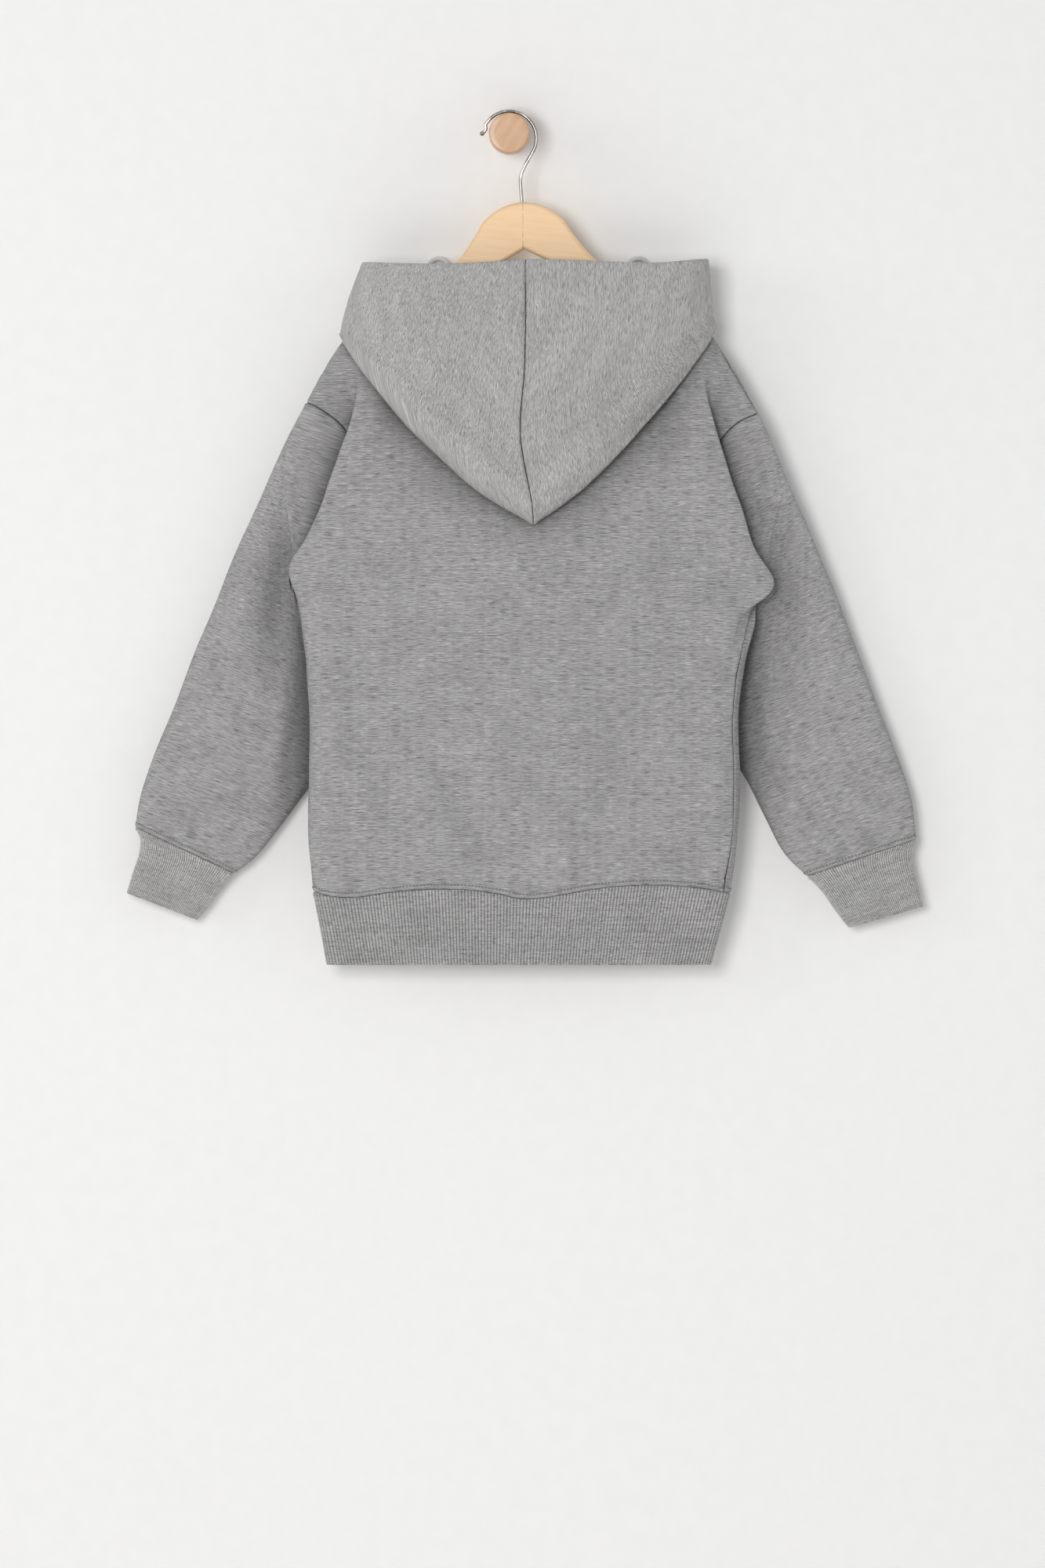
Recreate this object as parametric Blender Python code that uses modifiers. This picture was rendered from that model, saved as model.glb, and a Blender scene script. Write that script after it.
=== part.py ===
# Pullover hoodie hung by its shoulders, back to the room, on a hanger over a round wall peg.
# The tables are in millimetres. The origin is the middle of the peg's face on the wall:
# X runs to the right as the garment's back is seen, Y into the wall, Z up.

import math

import bmesh
import bpy
import numpy as np
from mathutils.bvhtree import BVHTree

MM = 0.001

FLEECE = 2.5  # wall of the brushed fleece
RIB = 2.3  # wall of the ribbed bands
SEAM_GAP = 0.3
LAY_GAP = 1.2  # the hood's inner layer lies this far off the body
RIDGE_ROUND = 11.0  # how far under the shoulder line the cloth takes to reach its full depth
RIDGE_HALF = 9.5  # half the garment's depth there
RIDGE_TURNS = (30, 60)  # degrees round the shoulder at which rows are put in
LAY_ROUND = 1.8  # the hood's inner layer over the shoulder is this much rounder than the body

ARM_ROWS = 10  # rows from the shoulder tip to the underarm, before those round the shoulder
SIDE_ROWS = 6  # rows from the underarm to the hem seam
STRIP_COLUMNS = (0.0, 1.0, 1.5, 2.0, 3.0)  # along seam, tuck, fold, brow
BODY_MIDDLE = 12.0  # the body hangs this far to the right of the peg
CROWN_REACH = 150.0  # how far to each side of the middle the crown runs
CROWN_TOP = -120.0  # the height it starts at
CROWN_FADE = 120.0  # the drop in which it reaches its full depth
SHOULDER_COLUMNS = 2
SLEEVE_RINGS = 11
BROW = 14.0  # from a fold's outer line in to the flat of the back
BROW_DEPTH = 3.5  # the brow stands this much further out than the fold
BROW_LIFT = 15.5  # and is this much higher at the shoulder
BROW_LIFT_ROWS = 5  # rows in which that height fades out
SIDE_FOLD_Y = -50.0  # the fold's outer line below the underarm
TUCK_INSET = (1.0, 0.4)  # the tuck lies this far inside the side's outline, from the underarm down
SETTLE_ROWS = 2  # rows in which the fold opens out below the underarm
FRONT_INSETS = (6, 14, 26)  # lines on the front this far inside its armhole
FRONT_WRAP = ((0, 4, 16), (-47, -37, -31.5))  # insets and depths where the side's cloth wraps round
FRONT_PLAIN = ((7, 14, 26), (-33.5, -31.5, -31))  # and where it doesn't
RIGHT_TUCK_SHARE = (0.3, 0.65)  # tuck and fold on the way from seam to brow, on the plain right side

PEG_RADIUS = 18.0
PEG_LENGTH = 58.0
PEG_EDGE = 1.2
WIRE_RADIUS = 1.5
HOOK_Y = -42.0
HOOK_RADIUS = 24.3
HANGER_THICKNESS = 11.0
HANGER_EDGE = 3.0
HANGER_APEX = (11.6, -61.5)
HANGER_TILT = math.radians(2.4)
SHOULDER_LIFT = 6.2  # cloth and clearance over the hanger's arms
CORD_RADIUS = 2.4
KNOT_RADIUS = 4.6


def table(names, *rows):
    return {name: np.array(column, float) for name, column in zip(names.split(), zip(*rows))}


# The hanger's upper outline from its apex to the end of one arm, and its underside back.
HANGER_TOP = table(
    "out up",
    (0, 0), (12, -2.0), (27, -9.0), (36, -17.0), (43, -28.0), (50, -38.0),
    (60, -50.5), (80, -65), (110, -82), (140, -99), (150, -106), (152.5, -113),
)
HANGER_UNDER = table("out up", (149, -122), (140, -120.5), (110, -103), (60, -75.5), (12, -48.5), (0, -42))

# Down each side of the back: the seam at the panel's edge, the tuck behind the fold and the
# fold's outer line, from the shoulder (row 0) to the underarm (row 10).
FOLD_NAMES = "row seam_x seam_y seam_z tuck_x tuck_y tuck_z fold_x fold_y fold_z"
LEFT_FOLD = table(
    FOLD_NAMES,
    (0, -181, -42, -240, -166, -42, -213, -150, -42, -187),
    (1, -178.5, -45.5, -241.5, -161, -48, -216, -144, -51.5, -191),
    (2, -173, -47, -244, -152, -49.5, -222, -137.5, -56, -200),
    (3.5, -161, -47, -252, -141, -50, -237, -135.5, -58.5, -221),
    (5, -146, -46, -266, -136.5, -50, -259, -140.5, -59.5, -252),
    (6.5, -142, -45, -293, -145.5, -50.5, -291, -153.5, -60, -290),
    (8, -157, -45, -335, -161.5, -51, -334, -169.5, -60, -336),
    (9, -172, -45, -363, -176, -51, -362, -184, -59, -365),
    (10, -191, -40, -388, -195, -47, -388, -196.5, -55, -387.5),
)
RIGHT_FOLD = table(
    FOLD_NAMES,
    (0, 222, -43.5, -250, 203, -43, -216, 182.5, -42.5, -183.5),
    (1, 219, -47, -251.5, 197, -49, -220, 177.5, -51.5, -191),
    (2, 213, -48.5, -254, 188, -50, -226, 173.5, -56, -202),
    (3.5, 200, -48.5, -262, 180, -50.5, -242, 174.5, -58.5, -224),
    (5, 187, -47, -278, 178.5, -51, -268, 182.5, -59.5, -256),
    (6.5, 184, -46, -304, 187, -51.5, -300, 194.5, -60, -297),
    (8, 198, -46, -343, 201.5, -52, -341, 208.5, -60, -337),
    (9, 208.5, -45, -371, 213.5, -51.5, -371, 218.5, -59, -370),
    (10, 222.5, -41, -400, 231, -48.5, -402.5, 236.7, -55, -403.6),
)

# The armhole's seam down the front, and the body's outline below the underarm.
LEFT_ARMHOLE = table(
    "row x y z",
    (0, -181, -42, -240), (2, -174, -35, -248), (4, -163, -32.5, -268), (6, -158, -32, -299),
    (8, -166, -32, -343), (9, -176.5, -33, -367), (10, -191, -40, -388),
)
RIGHT_ARMHOLE = table(
    "row x y z",
    (0, 222, -43.5, -250), (1, 222.5, -38.5, -253), (2, 217, -35, -260), (4, 205, -32.5, -280),
    (6, 199, -32, -311), (8, 204, -32, -353), (9, 211.5, -33.5, -378), (10, 222.5, -41, -400),
)
LEFT_SIDE = table(
    "z x",
    (-387.5, -196.5), (-405, -191.5), (-425, -187.5), (-457, -183), (-497, -179), (-527, -176.5),
    (-567, -178.5), (-600, -179), (-651, -180), (-668, -177.5), (-677.5, -174.5),
)
RIGHT_SIDE = table(
    "z x",
    (-403.6, 236.7), (-410, 230), (-418, 222.5), (-430, 220.5), (-458, 214), (-487, 208), (-522, 205),
    (-564, 205.5), (-621, 205), (-650, 202.5), (-679, 197),
)
HEM_SEAM = table(
    "x z",
    (-174.5, -677.5), (-149, -683.5), (-130, -681.5), (-95, -677), (-53, -675.6), (-20, -677.5),
    (12, -684), (38, -682), (71, -676), (119, -671.7), (159, -673.5), (197, -679),
)
HEM_BOTTOM = (-162.5, 180.0, -743.0)  # left, right, height
HEM_MIDDLE = -45.0
# The neckline, a row for each column of the panels, between the ends of the shoulder seams.
BACK_NECK = table(
    "x y z",
    (-71.6, -42, -127.7), (-70.2, -49.6, -130.8), (-65, -53, -136.5), (-48, -52.8, -140.5),
    (-30, -53.2, -142.5),
    (-10, -53.4, -143.4), (12, -53.5, -143.8), (34, -53.4, -143.2), (54, -53, -141.3), (73, -52.6, -138),
    (93.3, -53, -129.5), (98.6, -49.6, -123.7), (100.2, -42, -120.6),
)
FRONT_NECK = table(
    "x y z",
    (-71.6, -42, -127.7), (-70.6, -34.4, -131), (-67.5, -31.2, -140), (-59, -32, -166), (-43, -32, -192),
    (-18, -32, -213), (12, -32, -222), (42, -32, -213), (69, -32, -191), (86, -32, -163),
    (95.6, -31.2, -135), (99.2, -34.4, -124.3), (100.2, -42, -120.6),
)
NECK_COLUMNS = 6  # on each side of its middle

# How deep the back and the front lie, by height.
BACK_DEPTH = table(
    "z y",
    (-745, -57), (-680, -59), (-640, -61), (-400, -61), (-300, -60), (-200, -56), (-120, -51.5),
)
FRONT_DEPTH = table("z y", (-745, -33), (-680, -32), (-640, -31), (-300, -31), (-200, -32), (-120, -32.5))
BACK_CROWN = 5.0  # how far the middle of the back stands out
FRONT_CROWN = 2.0

# Sleeve sections from the armhole (0) to the cuff's seam (10): the outer and the inner edge,
# and half the depth between the sleeve's two layers.
SLEEVE_NAMES = "ring out_x out_y out_z in_x in_y in_z half"
LEFT_SLEEVE = table(
    SLEEVE_NAMES,
    (1, -193, -38, -262, -193.5, -38, -397, 5.5),
    (2, -204, -36, -285, -189.5, -30.5, -415, 7.5),
    (3, -227, -31, -336, -180, -21, -455, 9),
    (4, -249, -28, -385, -170, -16.5, -505, 10),
    (5, -267, -26, -430, -166, -15.5, -541, 10.5),
    (6, -284, -25, -471, -171, -16, -571, 11),
    (7, -301, -24, -515, -190, -18, -599, 11.5),
    (8, -320, -23, -561, -212, -20, -628, 12),
    (9, -331, -22, -598, -231, -21, -650, 11.5),
    (10, -334.5, -22, -620, -247, -21, -661, 10),
)
RIGHT_SLEEVE = table(
    SLEEVE_NAMES,
    (1, 237, -40, -280, 221.5, -38, -409, 5.5),
    (2, 249, -37, -312, 215.5, -30, -431, 7.5),
    (3, 268, -32, -353, 208, -21.5, -464, 9.5),
    (4, 285, -29, -393, 197, -17, -501, 10.5),
    (5, 300, -26, -433, 193, -15.5, -532, 10.5),
    (6, 315, -25, -472, 199, -16, -556, 11),
    (7, 331, -24, -515, 213.5, -18, -580, 11.5),
    (8, 346.5, -23, -556, 229.5, -20, -613, 12),
    (9, 360, -22, -596, 247, -21, -645, 11.5),
    (10, 363.5, -22, -631, 266.5, -21, -664, 10),
)
LEFT_CUFF = table(
    SLEEVE_NAMES,
    (10, -334.5, -22, -620, -247, -21, -661, 10),
    (10.6, -329.8, -22, -629, -252.5, -21, -667.5, 8),
    (11.3, -330, -22, -640, -259.5, -21, -676, 7.5),
    (12.6, -336, -21.5, -660, -269, -20.5, -690, 7),
    (14, -342, -21, -679, -279.5, -20, -703, 6.5),
)
RIGHT_CUFF = table(
    SLEEVE_NAMES,
    (10, 363.5, -22, -631, 266.5, -21, -664, 10),
    (10.6, 359.5, -22, -641, 272.5, -21, -669, 8),
    (11.3, 360, -22, -651, 279.5, -21, -677, 7.5),
    (12.6, 365, -21.5, -671, 291, -20.5, -693, 7),
    (14, 370, -21, -691, 304.5, -20, -710, 6.5),
)

# The hood from the middle of the back (station 0) over the shoulder (7) to the middle of the
# front (13): the line where it folds back on itself and the edge of its opening.
LEFT_HOOD_FOLD = table(
    "station x y z",
    (0, 21.5, -76, -350), (1, -2, -76, -338.5), (2.2, -42, -76, -308), (3.5, -83, -76, -271),
    (4.9, -124, -72, -223), (6, -143.6, -58, -196), (7, -150.5, -42, -181), (8, -141, -26, -194),
    (9, -112, -20, -214), (10.3, -72, -19.5, -233), (11.6, -34, -19.5, -246), (13, 12, -19.5, -250),
)
RIGHT_HOOD_FOLD = table(
    "station x y z",
    (0, 21.5, -76, -350), (1, 46, -76, -335), (2.2, 78, -76, -306), (3.5, 112, -76, -274),
    (4.9, 150, -72, -226), (6, 178, -58, -190), (7, 187.5, -42, -177), (8, 176, -25, -192),
    (9, 145, -20, -212), (10.3, 104, -19.5, -232), (11.6, 62, -19.5, -246), (13, 12, -19.5, -250),
)
LEFT_HOOD_EDGE = table(
    "station x y z",
    (0, 14.6, -85, -113), (2, -35, -86, -116.5), (4, -90, -84, -116.8), (5.3, -120, -78, -115.8),
    (6.2, -130, -65, -115.3), (7, -131, -46, -115.5), (8, -125, -25, -116), (9, -104, -13, -117),
    (10, -53, -9.5, -117.5), (11, -33, -9.5, -142), (12, -12, -10.5, -188), (13, 12, -14, -224),
)
RIGHT_HOOD_EDGE = table(
    "station x y z",
    (0, 14.6, -85, -113), (2, 62, -86, -114), (4, 128, -84, -116.3), (5.3, 164, -78, -113.5),
    (6.2, 176.5, -65, -112.5), (7, 177.5, -46, -113), (8, 170, -25, -114.5), (9, 148, -13, -116.5),
    (10, 103, -9.5, -117.5), (11, 70, -9.5, -142), (12, 38, -10.5, -188), (13, 12, -14, -224),
)
HOOD_STATIONS = (0, 1.4, 2.8, 4.2, 5.6, 6.3, 7, 7.7, 8.4, 9.3, 10.1, 11.5, 13)  # one for each column
# Half the bag's thickness at its fold, and how far its outer layer bulges, by station.
HOOD_BODY = table(
    "station half bulge",
    (0, 12, 5), (4, 12, 5), (5.6, 8, 3), (6.3, 5, 2), (7, 4, 2), (7.7, 5, 1), (8.4, 6, 1), (9.5, 7, 1),
    (13, 7, 0),
)
HOOD_ROWS = (0, 1, 2, 3, 4, 5, 6, 7, 7.5, 8, 8.5, 9, 10, 11, 12, 13)  # along the lines of hood_side
# The seam down the middle of the hood's outer layer wanders off the straight, from fold to edge.
SEAM_WANDER = table(
    "along x",
    (0, 0), (0.06, -1), (0.13, -5.6), (0.2, -8.4), (0.29, -9), (0.42, -6.4), (0.63, -2.8), (1, 0),
)

# Each cord leaves a sewn hole in the hood's front, lies up it, bends over its edge and hangs
# inside: where its two legs and its knot are, left and right.
CORDS = table("side out_x out_y in_y knot_y", (-1, -72.5, -7.0, -14.8, -17.3), (1, 124.5, -7.4, -15.1, -17.7))
CORD_BEND = 10.0  # radius of its bend over the edge
CORD_TOP = -111.4
CORD_EXIT = -151.0  # height at which it has turned up out of its hole
CORD_END = -185.0
CORD_BOW = 2.2  # how far it stands off the hood there
CORD_POINTS = 34

HOOK_PATH = table(  # from the hanger's top up to where the round of the hook begins
    "x z",
    (11.4, -61.0), (10.9, -55), (10.4, -49), (10.0, -43), (10.8, -37), (13.2, -31), (17, -25.5),
)
HOOK_END = table("x z", (-19.5, 8), (-20.8, 4), (-23, 0.6), (-26, -1.2))


# Curves ---------------------------------------------------------------------------------------


def smooth(keys, values, at):
    """A smooth curve through values at rising keys, read at the given places."""
    keys = np.asarray(keys, float)
    values = np.asarray(values, float)
    at = np.clip(np.asarray(at, float), keys[0], keys[-1])
    step = np.diff(keys)
    shape = (-1,) + (1,) * (values.ndim - 1)
    slope = np.diff(values, axis=0) / step.reshape(shape)
    before, after = step[:-1].reshape(shape), step[1:].reshape(shape)
    middle = (after * slope[:-1] + before * slope[1:]) / (before + after)
    tangent = np.concatenate([slope[:1], middle, slope[-1:]])
    i = np.clip(np.searchsorted(keys, at, side="right") - 1, 0, len(step) - 1)
    t = ((at - keys[i]) / step[i]).reshape((-1,) + (1,) * (values.ndim - 1))
    h = step[i].reshape(t.shape)
    return (
        (2 * t**3 - 3 * t**2 + 1) * values[i]
        + (t**3 - 2 * t**2 + t) * h * tangent[i]
        + (3 * t**2 - 2 * t**3) * values[i + 1]
        + (t**3 - t**2) * h * tangent[i + 1]
    )


def column(rows, key, names, at):
    """The named columns of a table, smoothed over its key column."""
    order = np.argsort(rows[key])
    return smooth(rows[key][order], np.stack([rows[name][order] for name in names.split()], axis=1), at)


def lookup(rows, key, name, at):
    at = np.asarray(at, float)
    return column(rows, key, name, at.ravel())[:, 0].reshape(at.shape)


def lengths(points):
    return np.concatenate([[0], np.cumsum(np.linalg.norm(np.diff(points, axis=0), axis=1))])


def along(points, at):
    """A smooth curve through points, read at places measured in points."""
    points = np.asarray(points, float)
    far = lengths(points)
    return smooth(far, points, np.interp(at, np.arange(len(points)), far))


def unit(vectors):
    return vectors / np.linalg.norm(vectors, axis=-1, keepdims=True)


def mix(a, b, share):
    return a + (b - a) * share


# The garment's main lines ---------------------------------------------------------------------


def on_hanger(out, up):
    """A point given from the hanger's apex, turned by its tilt."""
    x = HANGER_APEX[0] + out * math.cos(HANGER_TILT) - up * math.sin(HANGER_TILT)
    z = HANGER_APEX[1] + out * math.sin(HANGER_TILT) + up * math.cos(HANGER_TILT)
    return x, z


def shoulder(side):
    """The shoulder line on the hanger's arm, from its end in to the neck."""
    outs = (149, 112)
    xs, zs = on_hanger(side * np.array(outs), lookup(HANGER_TOP, "out", "up", outs) + SHOULDER_LIFT)
    return np.stack([xs, np.full(2, HOOK_Y), zs], axis=1)


def ridge_at(line, x):
    """The depth and height of a line that runs across, at x."""
    order = np.argsort(line[:, 0])
    return np.interp(x, line[order, 0], line[order, 1]), np.interp(x, line[order, 0], line[order, 2])


def skin_depth(x, z, side):
    """The plain depth of the back (side -1) or front (side 1), with its gentle crown."""
    depth = lookup(BACK_DEPTH if side < 0 else FRONT_DEPTH, "z", "y", z)
    crown = BACK_CROWN if side < 0 else FRONT_CROWN
    across = np.clip(1 - ((x - BODY_MIDDLE) / CROWN_REACH) ** 2, 0, 1)
    return depth + side * crown * across * np.clip((CROWN_TOP - z) / CROWN_FADE, 0, 1)


def rounded(drop):
    """How much of its full depth the cloth has this far below the shoulder line."""
    return np.sqrt(1 - (1 - np.clip(drop / RIDGE_ROUND, 0, 1)) ** 2)


def coons(top, bottom, left, right):
    """A smooth patch between four edges: top and bottom run across, left and right down."""
    v = (lengths(left) / lengths(left)[-1])[:, None, None]
    u = np.linspace(0, 1, len(top))[None, :, None]
    rows = mix(top[None], bottom[None], v) + mix(left[:, None], right[:, None], u)
    corners = mix(mix(top[0], top[-1], u), mix(bottom[0], bottom[-1], u), v)
    return rows - corners


def side_rows(edge):
    """Heights from the underarm to the hem seam, closer together near the underarm."""
    share = np.linspace(0, 1, SIDE_ROWS + 1)[1:]
    return mix(edge["z"][0], edge["z"][-1], share**1.25)


def back_strip(fold, edge, side, seam_in, seam_y, tuck_y):
    """Seam, tuck, fold and brow points down one side of the back: rows x 4 x 3."""
    rows = np.arange(ARM_ROWS + 1)
    seam = column(fold, "row", "seam_x seam_y seam_z", rows)
    tuck = column(fold, "row", "tuck_x tuck_y tuck_z", rows)
    turn = column(fold, "row", "fold_x fold_y fold_z", rows)
    z = side_rows(edge)
    x = lookup(edge, "z", "x", z)
    opened = np.clip((np.arange(SIDE_ROWS) + 1) / SETTLE_ROWS, 0, 1)
    low_seam = np.stack([x - side * seam_in, mix(seam[-1, 1], seam_y, opened), z], axis=1)
    tuck_x = x - side * mix(*TUCK_INSET, opened)
    low_tuck = np.stack([tuck_x, mix(tuck[-1, 1], tuck_y, opened), z], axis=1)
    low_turn = np.stack([x, mix(turn[-1, 1], SIDE_FOLD_Y, opened), z], axis=1)
    seam = np.concatenate([seam, low_seam])
    tuck = np.concatenate([tuck, low_tuck])
    turn = np.concatenate([turn, low_turn])
    place = np.minimum(np.arange(len(turn)), ARM_ROWS)
    lift = BROW_LIFT * np.clip(1 - place / BROW_LIFT_ROWS, 0, 1)
    whole = np.ones(len(turn))
    brow = turn + np.stack([-side * BROW * whole, -BROW_DEPTH * whole, lift], axis=1)
    brow[0] = shoulder(side)[0]
    brow[1] = brow[0] + (-side * 1.5, -RIDGE_HALF - 2, -RIDGE_ROUND - 1)
    low = np.arange(len(turn)) > ARM_ROWS
    brow[low, 1] = skin_depth(brow[low, 0], brow[low, 2], -1)
    return np.stack([seam, tuck, turn, brow], axis=1)


def body_top(neck):
    """The panel's top edge between its brows: shoulder, neckline, shoulder."""
    left, right = shoulder(-1), shoulder(1)
    points = np.stack([neck[name] for name in "xyz"], axis=1)
    steps = np.linspace(0, 2, SHOULDER_COLUMNS + 1)
    first = along(np.concatenate([left, points[:1]]), steps)[:-1]
    last = along(np.concatenate([right, points[-1:]]), steps)[-2::-1]
    return np.concatenate([first, points, last])


def shoulder_arch(rows):
    """A panel's rows with more put in round the shoulder, between its top edge and the row below."""
    arch = []
    for turn in np.radians(RIDGE_TURNS):
        down = 1 - math.cos(turn)
        arch.append(mix(rows[0], rows[1], np.array([down, math.sin(turn), down])))
    return np.concatenate([rows[:1], arch, rows[1:]])


def hem_line(x, y):
    return np.stack([x, y, lookup(HEM_SEAM, "x", "z", x)], axis=1)


def panel(top, left, right, side):
    """One body panel: the two side strips and, between their brows, a patch under the top edge."""
    under = top.copy()
    under[:, 2] -= np.where(top[:, 1] == HOOK_Y, RIDGE_ROUND, 7)
    under[:, 1] = skin_depth(under[:, 0], under[:, 2], side)
    under[0], under[-1] = left[1, -1], right[1, -1]
    count = len(top)
    x = np.linspace(left[-1, -1, 0], right[-1, -1, 0], count)
    bottom = hem_line(x, np.full(count, HEM_MIDDLE))
    patch = coons(under, bottom, left[1:, -1], right[1:, -1])
    patch[1:, :, 1] = skin_depth(patch[1:, :, 0], patch[1:, :, 2], side)
    edge = np.clip(1 - np.minimum(np.arange(count), np.arange(count)[::-1]) / 2, 0, 1)
    brows = np.where(np.arange(count) < count / 2, left[2:, -1:, 1], right[2:, -1:, 1])
    patch[1:, :, 1] = mix(patch[1:, :, 1], brows, edge)
    rows = []
    for i, row in enumerate(np.concatenate([top[None], patch])):
        near = along(np.concatenate([left[i], row[1:3]]), STRIP_COLUMNS)
        far = along(np.concatenate([right[i], row[-2:-4:-1]]), STRIP_COLUMNS)
        rows.append(np.concatenate([near[:-1], row, far[-2::-1]]))
    rows[-1] = hem_line(rows[-1][:, 0], rows[-1][:, 1])
    return shoulder_arch(np.array(rows))


def front_strip(armhole, back, edge, side, wraps):
    """Seam and three lines inside it down one side of the front: rows x 4 x 3."""
    rows = np.arange(ARM_ROWS + 1)
    seam = np.concatenate([column(armhole, "row", "x y z", rows), back[ARM_ROWS + 1 :, 0]])
    strip = np.repeat(seam[:, None], 4, axis=1)
    arm = strip[: ARM_ROWS + 1]
    ridge = back[0]
    fan = np.clip(rows / 6, 0, 1)[:, None]
    inside = arm[:, 0, :1] - side * np.array([FRONT_INSETS])
    arm[:, 1:, 0] = mix(ridge[None, 1:, 0], inside, fan)
    fall = arm[:, :1, 2] - seam[0, 2]
    arm[:, 1:, 2] = mix(ridge[None, 1:, 2] + fall * 1.6, arm[:, :1, 2], fan**0.8)
    arm[1, 1:, 2] = ridge[1:, 2] - (5, 9, RIDGE_ROUND + 1)
    drop = ridge[None, 1:, 2] - arm[:, 1:, 2]
    plain = skin_depth(arm[:, 1:, 0], arm[:, 1:, 2], 1)
    arm[:, 1:, 1] = mix(ridge[None, 1:, 1], plain, rounded(drop))
    arm[0] = ridge
    x = lookup(edge, "z", "x", seam[ARM_ROWS + 1 :, 2])
    insets, depths = FRONT_WRAP if wraps else FRONT_PLAIN
    for j, (offset, depth) in enumerate(zip(insets, depths), 1):
        strip[ARM_ROWS + 1 :, j, 0] = x - side * offset
        strip[ARM_ROWS + 1 :, j, 1] = depth
    strip[ARM_ROWS, 1:, 1] = mix(strip[ARM_ROWS - 1, 1:, 1], strip[ARM_ROWS + 1, 1:, 1], 0.5)
    return strip


def torso():
    back_left = back_strip(LEFT_FOLD, LEFT_SIDE, -1, 3.0, -37.0, -43.0)
    back_right = back_strip(RIGHT_FOLD, RIGHT_SIDE, 1, 5.0, -58.0, -58.5)
    low = back_right[ARM_ROWS + 1 :]
    for line, share in zip((1, 2), RIGHT_TUCK_SHARE):
        low[:, line] = mix(low[:, 0], low[:, 3], share)
    front_left = front_strip(LEFT_ARMHOLE, back_left, LEFT_SIDE, -1, False)
    front_right = front_strip(RIGHT_ARMHOLE, back_right, RIGHT_SIDE, 1, True)
    back = panel(body_top(BACK_NECK), back_left, back_right, -1)
    front = panel(body_top(FRONT_NECK), front_left, front_right, 1)
    return back, front


def surface(skins):
    """One surface, facing out, from grids whose columns run so that they face out."""
    points = []
    faces = []
    for grid in skins:
        faces += (quads(*grid.shape[:2], False) + len(points)).tolist()
        points += grid.reshape(-1, 3).tolist()
    return BVHTree.FromPolygons(points, faces)


def settle(grid, first, last, gaps, body):
    """Moves a grid's rows off the body until they and the cloth between them keep their gap."""
    corners = [(u, v) for u in (0, 0.33, 0.67, 1) for v in (0, 0.33, 0.67, 1)]
    across = range(grid.shape[1] - 1)
    for _ in range(8):
        push = np.zeros_like(grid)
        for i, j in ((i, j) for i in range(first, last) for j in across):
            cell = grid[i : i + 2, j : j + 2]
            for u, v in corners:
                shares = np.array([[(1 - u) * (1 - v), (1 - u) * v], [u * (1 - v), u * v]])
                point = (cell * shares[:, :, None]).sum(axis=(0, 1))
                place, normal, _, far = body.find_nearest(point)
                lack = mix(gaps[i], gaps[i + 1], u) - float(np.dot(point - np.array(place), normal))
                if lack <= 0 or far > 9:
                    continue
                for a, b in np.argwhere(shares > 0):
                    if np.linalg.norm(push[i + a, j + b]) < lack:
                        push[i + a, j + b] = lack * np.array(normal)
        grid[first : last + 1] += push[first : last + 1]
    return grid


# Sleeves, cuffs and hem -----------------------------------------------------------------------

FLATNESS = 0.3  # a flattened ring's power: the smaller, the flatter its two layers
HEM_SLIM = 0.68  # how much of its depth the hem keeps at its folded edge
HEM_STEPS = table("fall pull", (0, 0), (0.1, 0.286), (0.55, 0.845), (1, 1))  # down the band, and in


def section(rows, i, shares):
    """A flattened ring from a sleeve's outer edge to its inner edge and back."""
    outer = np.array([rows[name][i] for name in ("out_x", "out_y", "out_z")])
    inner = np.array([rows[name][i] for name in ("in_x", "in_y", "in_z")])
    ring = mix(outer, inner, shares[:, None])
    layer = np.where(np.arange(len(shares)) <= len(shares) // 2, 1, -1)
    ring[:, 1] -= layer * rows["half"][i] * (4 * shares * (1 - shares)) ** FLATNESS
    return ring


def rounded_shares(count):
    """Shares of the way across that bunch up towards a ring's two edges."""
    return (1 - np.cos(np.linspace(0, 2 * math.pi, count, endpoint=False))) / 2


def sleeve(rows, back_seam, front_seam):
    """Rings from the armhole's own points down to the cuff seam."""
    armhole = np.concatenate([back_seam, front_seam[-2:0:-1]])
    behind, before = (lengths(seam) / lengths(seam)[-1] for seam in (back_seam, front_seam))
    own = np.concatenate([behind, before[-2:0:-1]])
    rings = [armhole]
    for i, ring in enumerate(rows["ring"]):
        rings.append(section(rows, i, mix(own, rounded_shares(len(own)), min(1, ring / 5))))
    keys = np.concatenate([[0], rows["ring"]])
    share = np.linspace(0, 1, SLEEVE_RINGS + 1)
    return smooth(keys, np.array(rings), 10 * share**1.15)


def cuff(rows, seam_ring):
    shares = rounded_shares(len(seam_ring))
    rings = [seam_ring] + [section(rows, i, shares) for i in range(1, len(rows["ring"]))]
    return np.array(rings)


def hem_band(back_row, front_row):
    """Rings from the body's own bottom edge down to the band's folded edge."""
    ring = np.concatenate([back_row, front_row[-2:0:-1]])
    left, right, low = HEM_BOTTOM
    squeeze = (ring[:, 0] - ring[:, 0].min()) / np.ptp(ring[:, 0])
    slim = mix(HEM_MIDDLE, ring[:, 1], HEM_SLIM)
    bottom = np.stack([mix(left, right, squeeze), slim, np.full(len(ring), low)], axis=1)
    rings = []
    for fall, pull in zip(HEM_STEPS["fall"], HEM_STEPS["pull"]):
        step = mix(ring, bottom, fall)
        step[:, 1] = mix(ring[:, 1], bottom[:, 1], pull)
        rings.append(step)
    return np.array(rings)


# Hood -----------------------------------------------------------------------------------------

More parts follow.
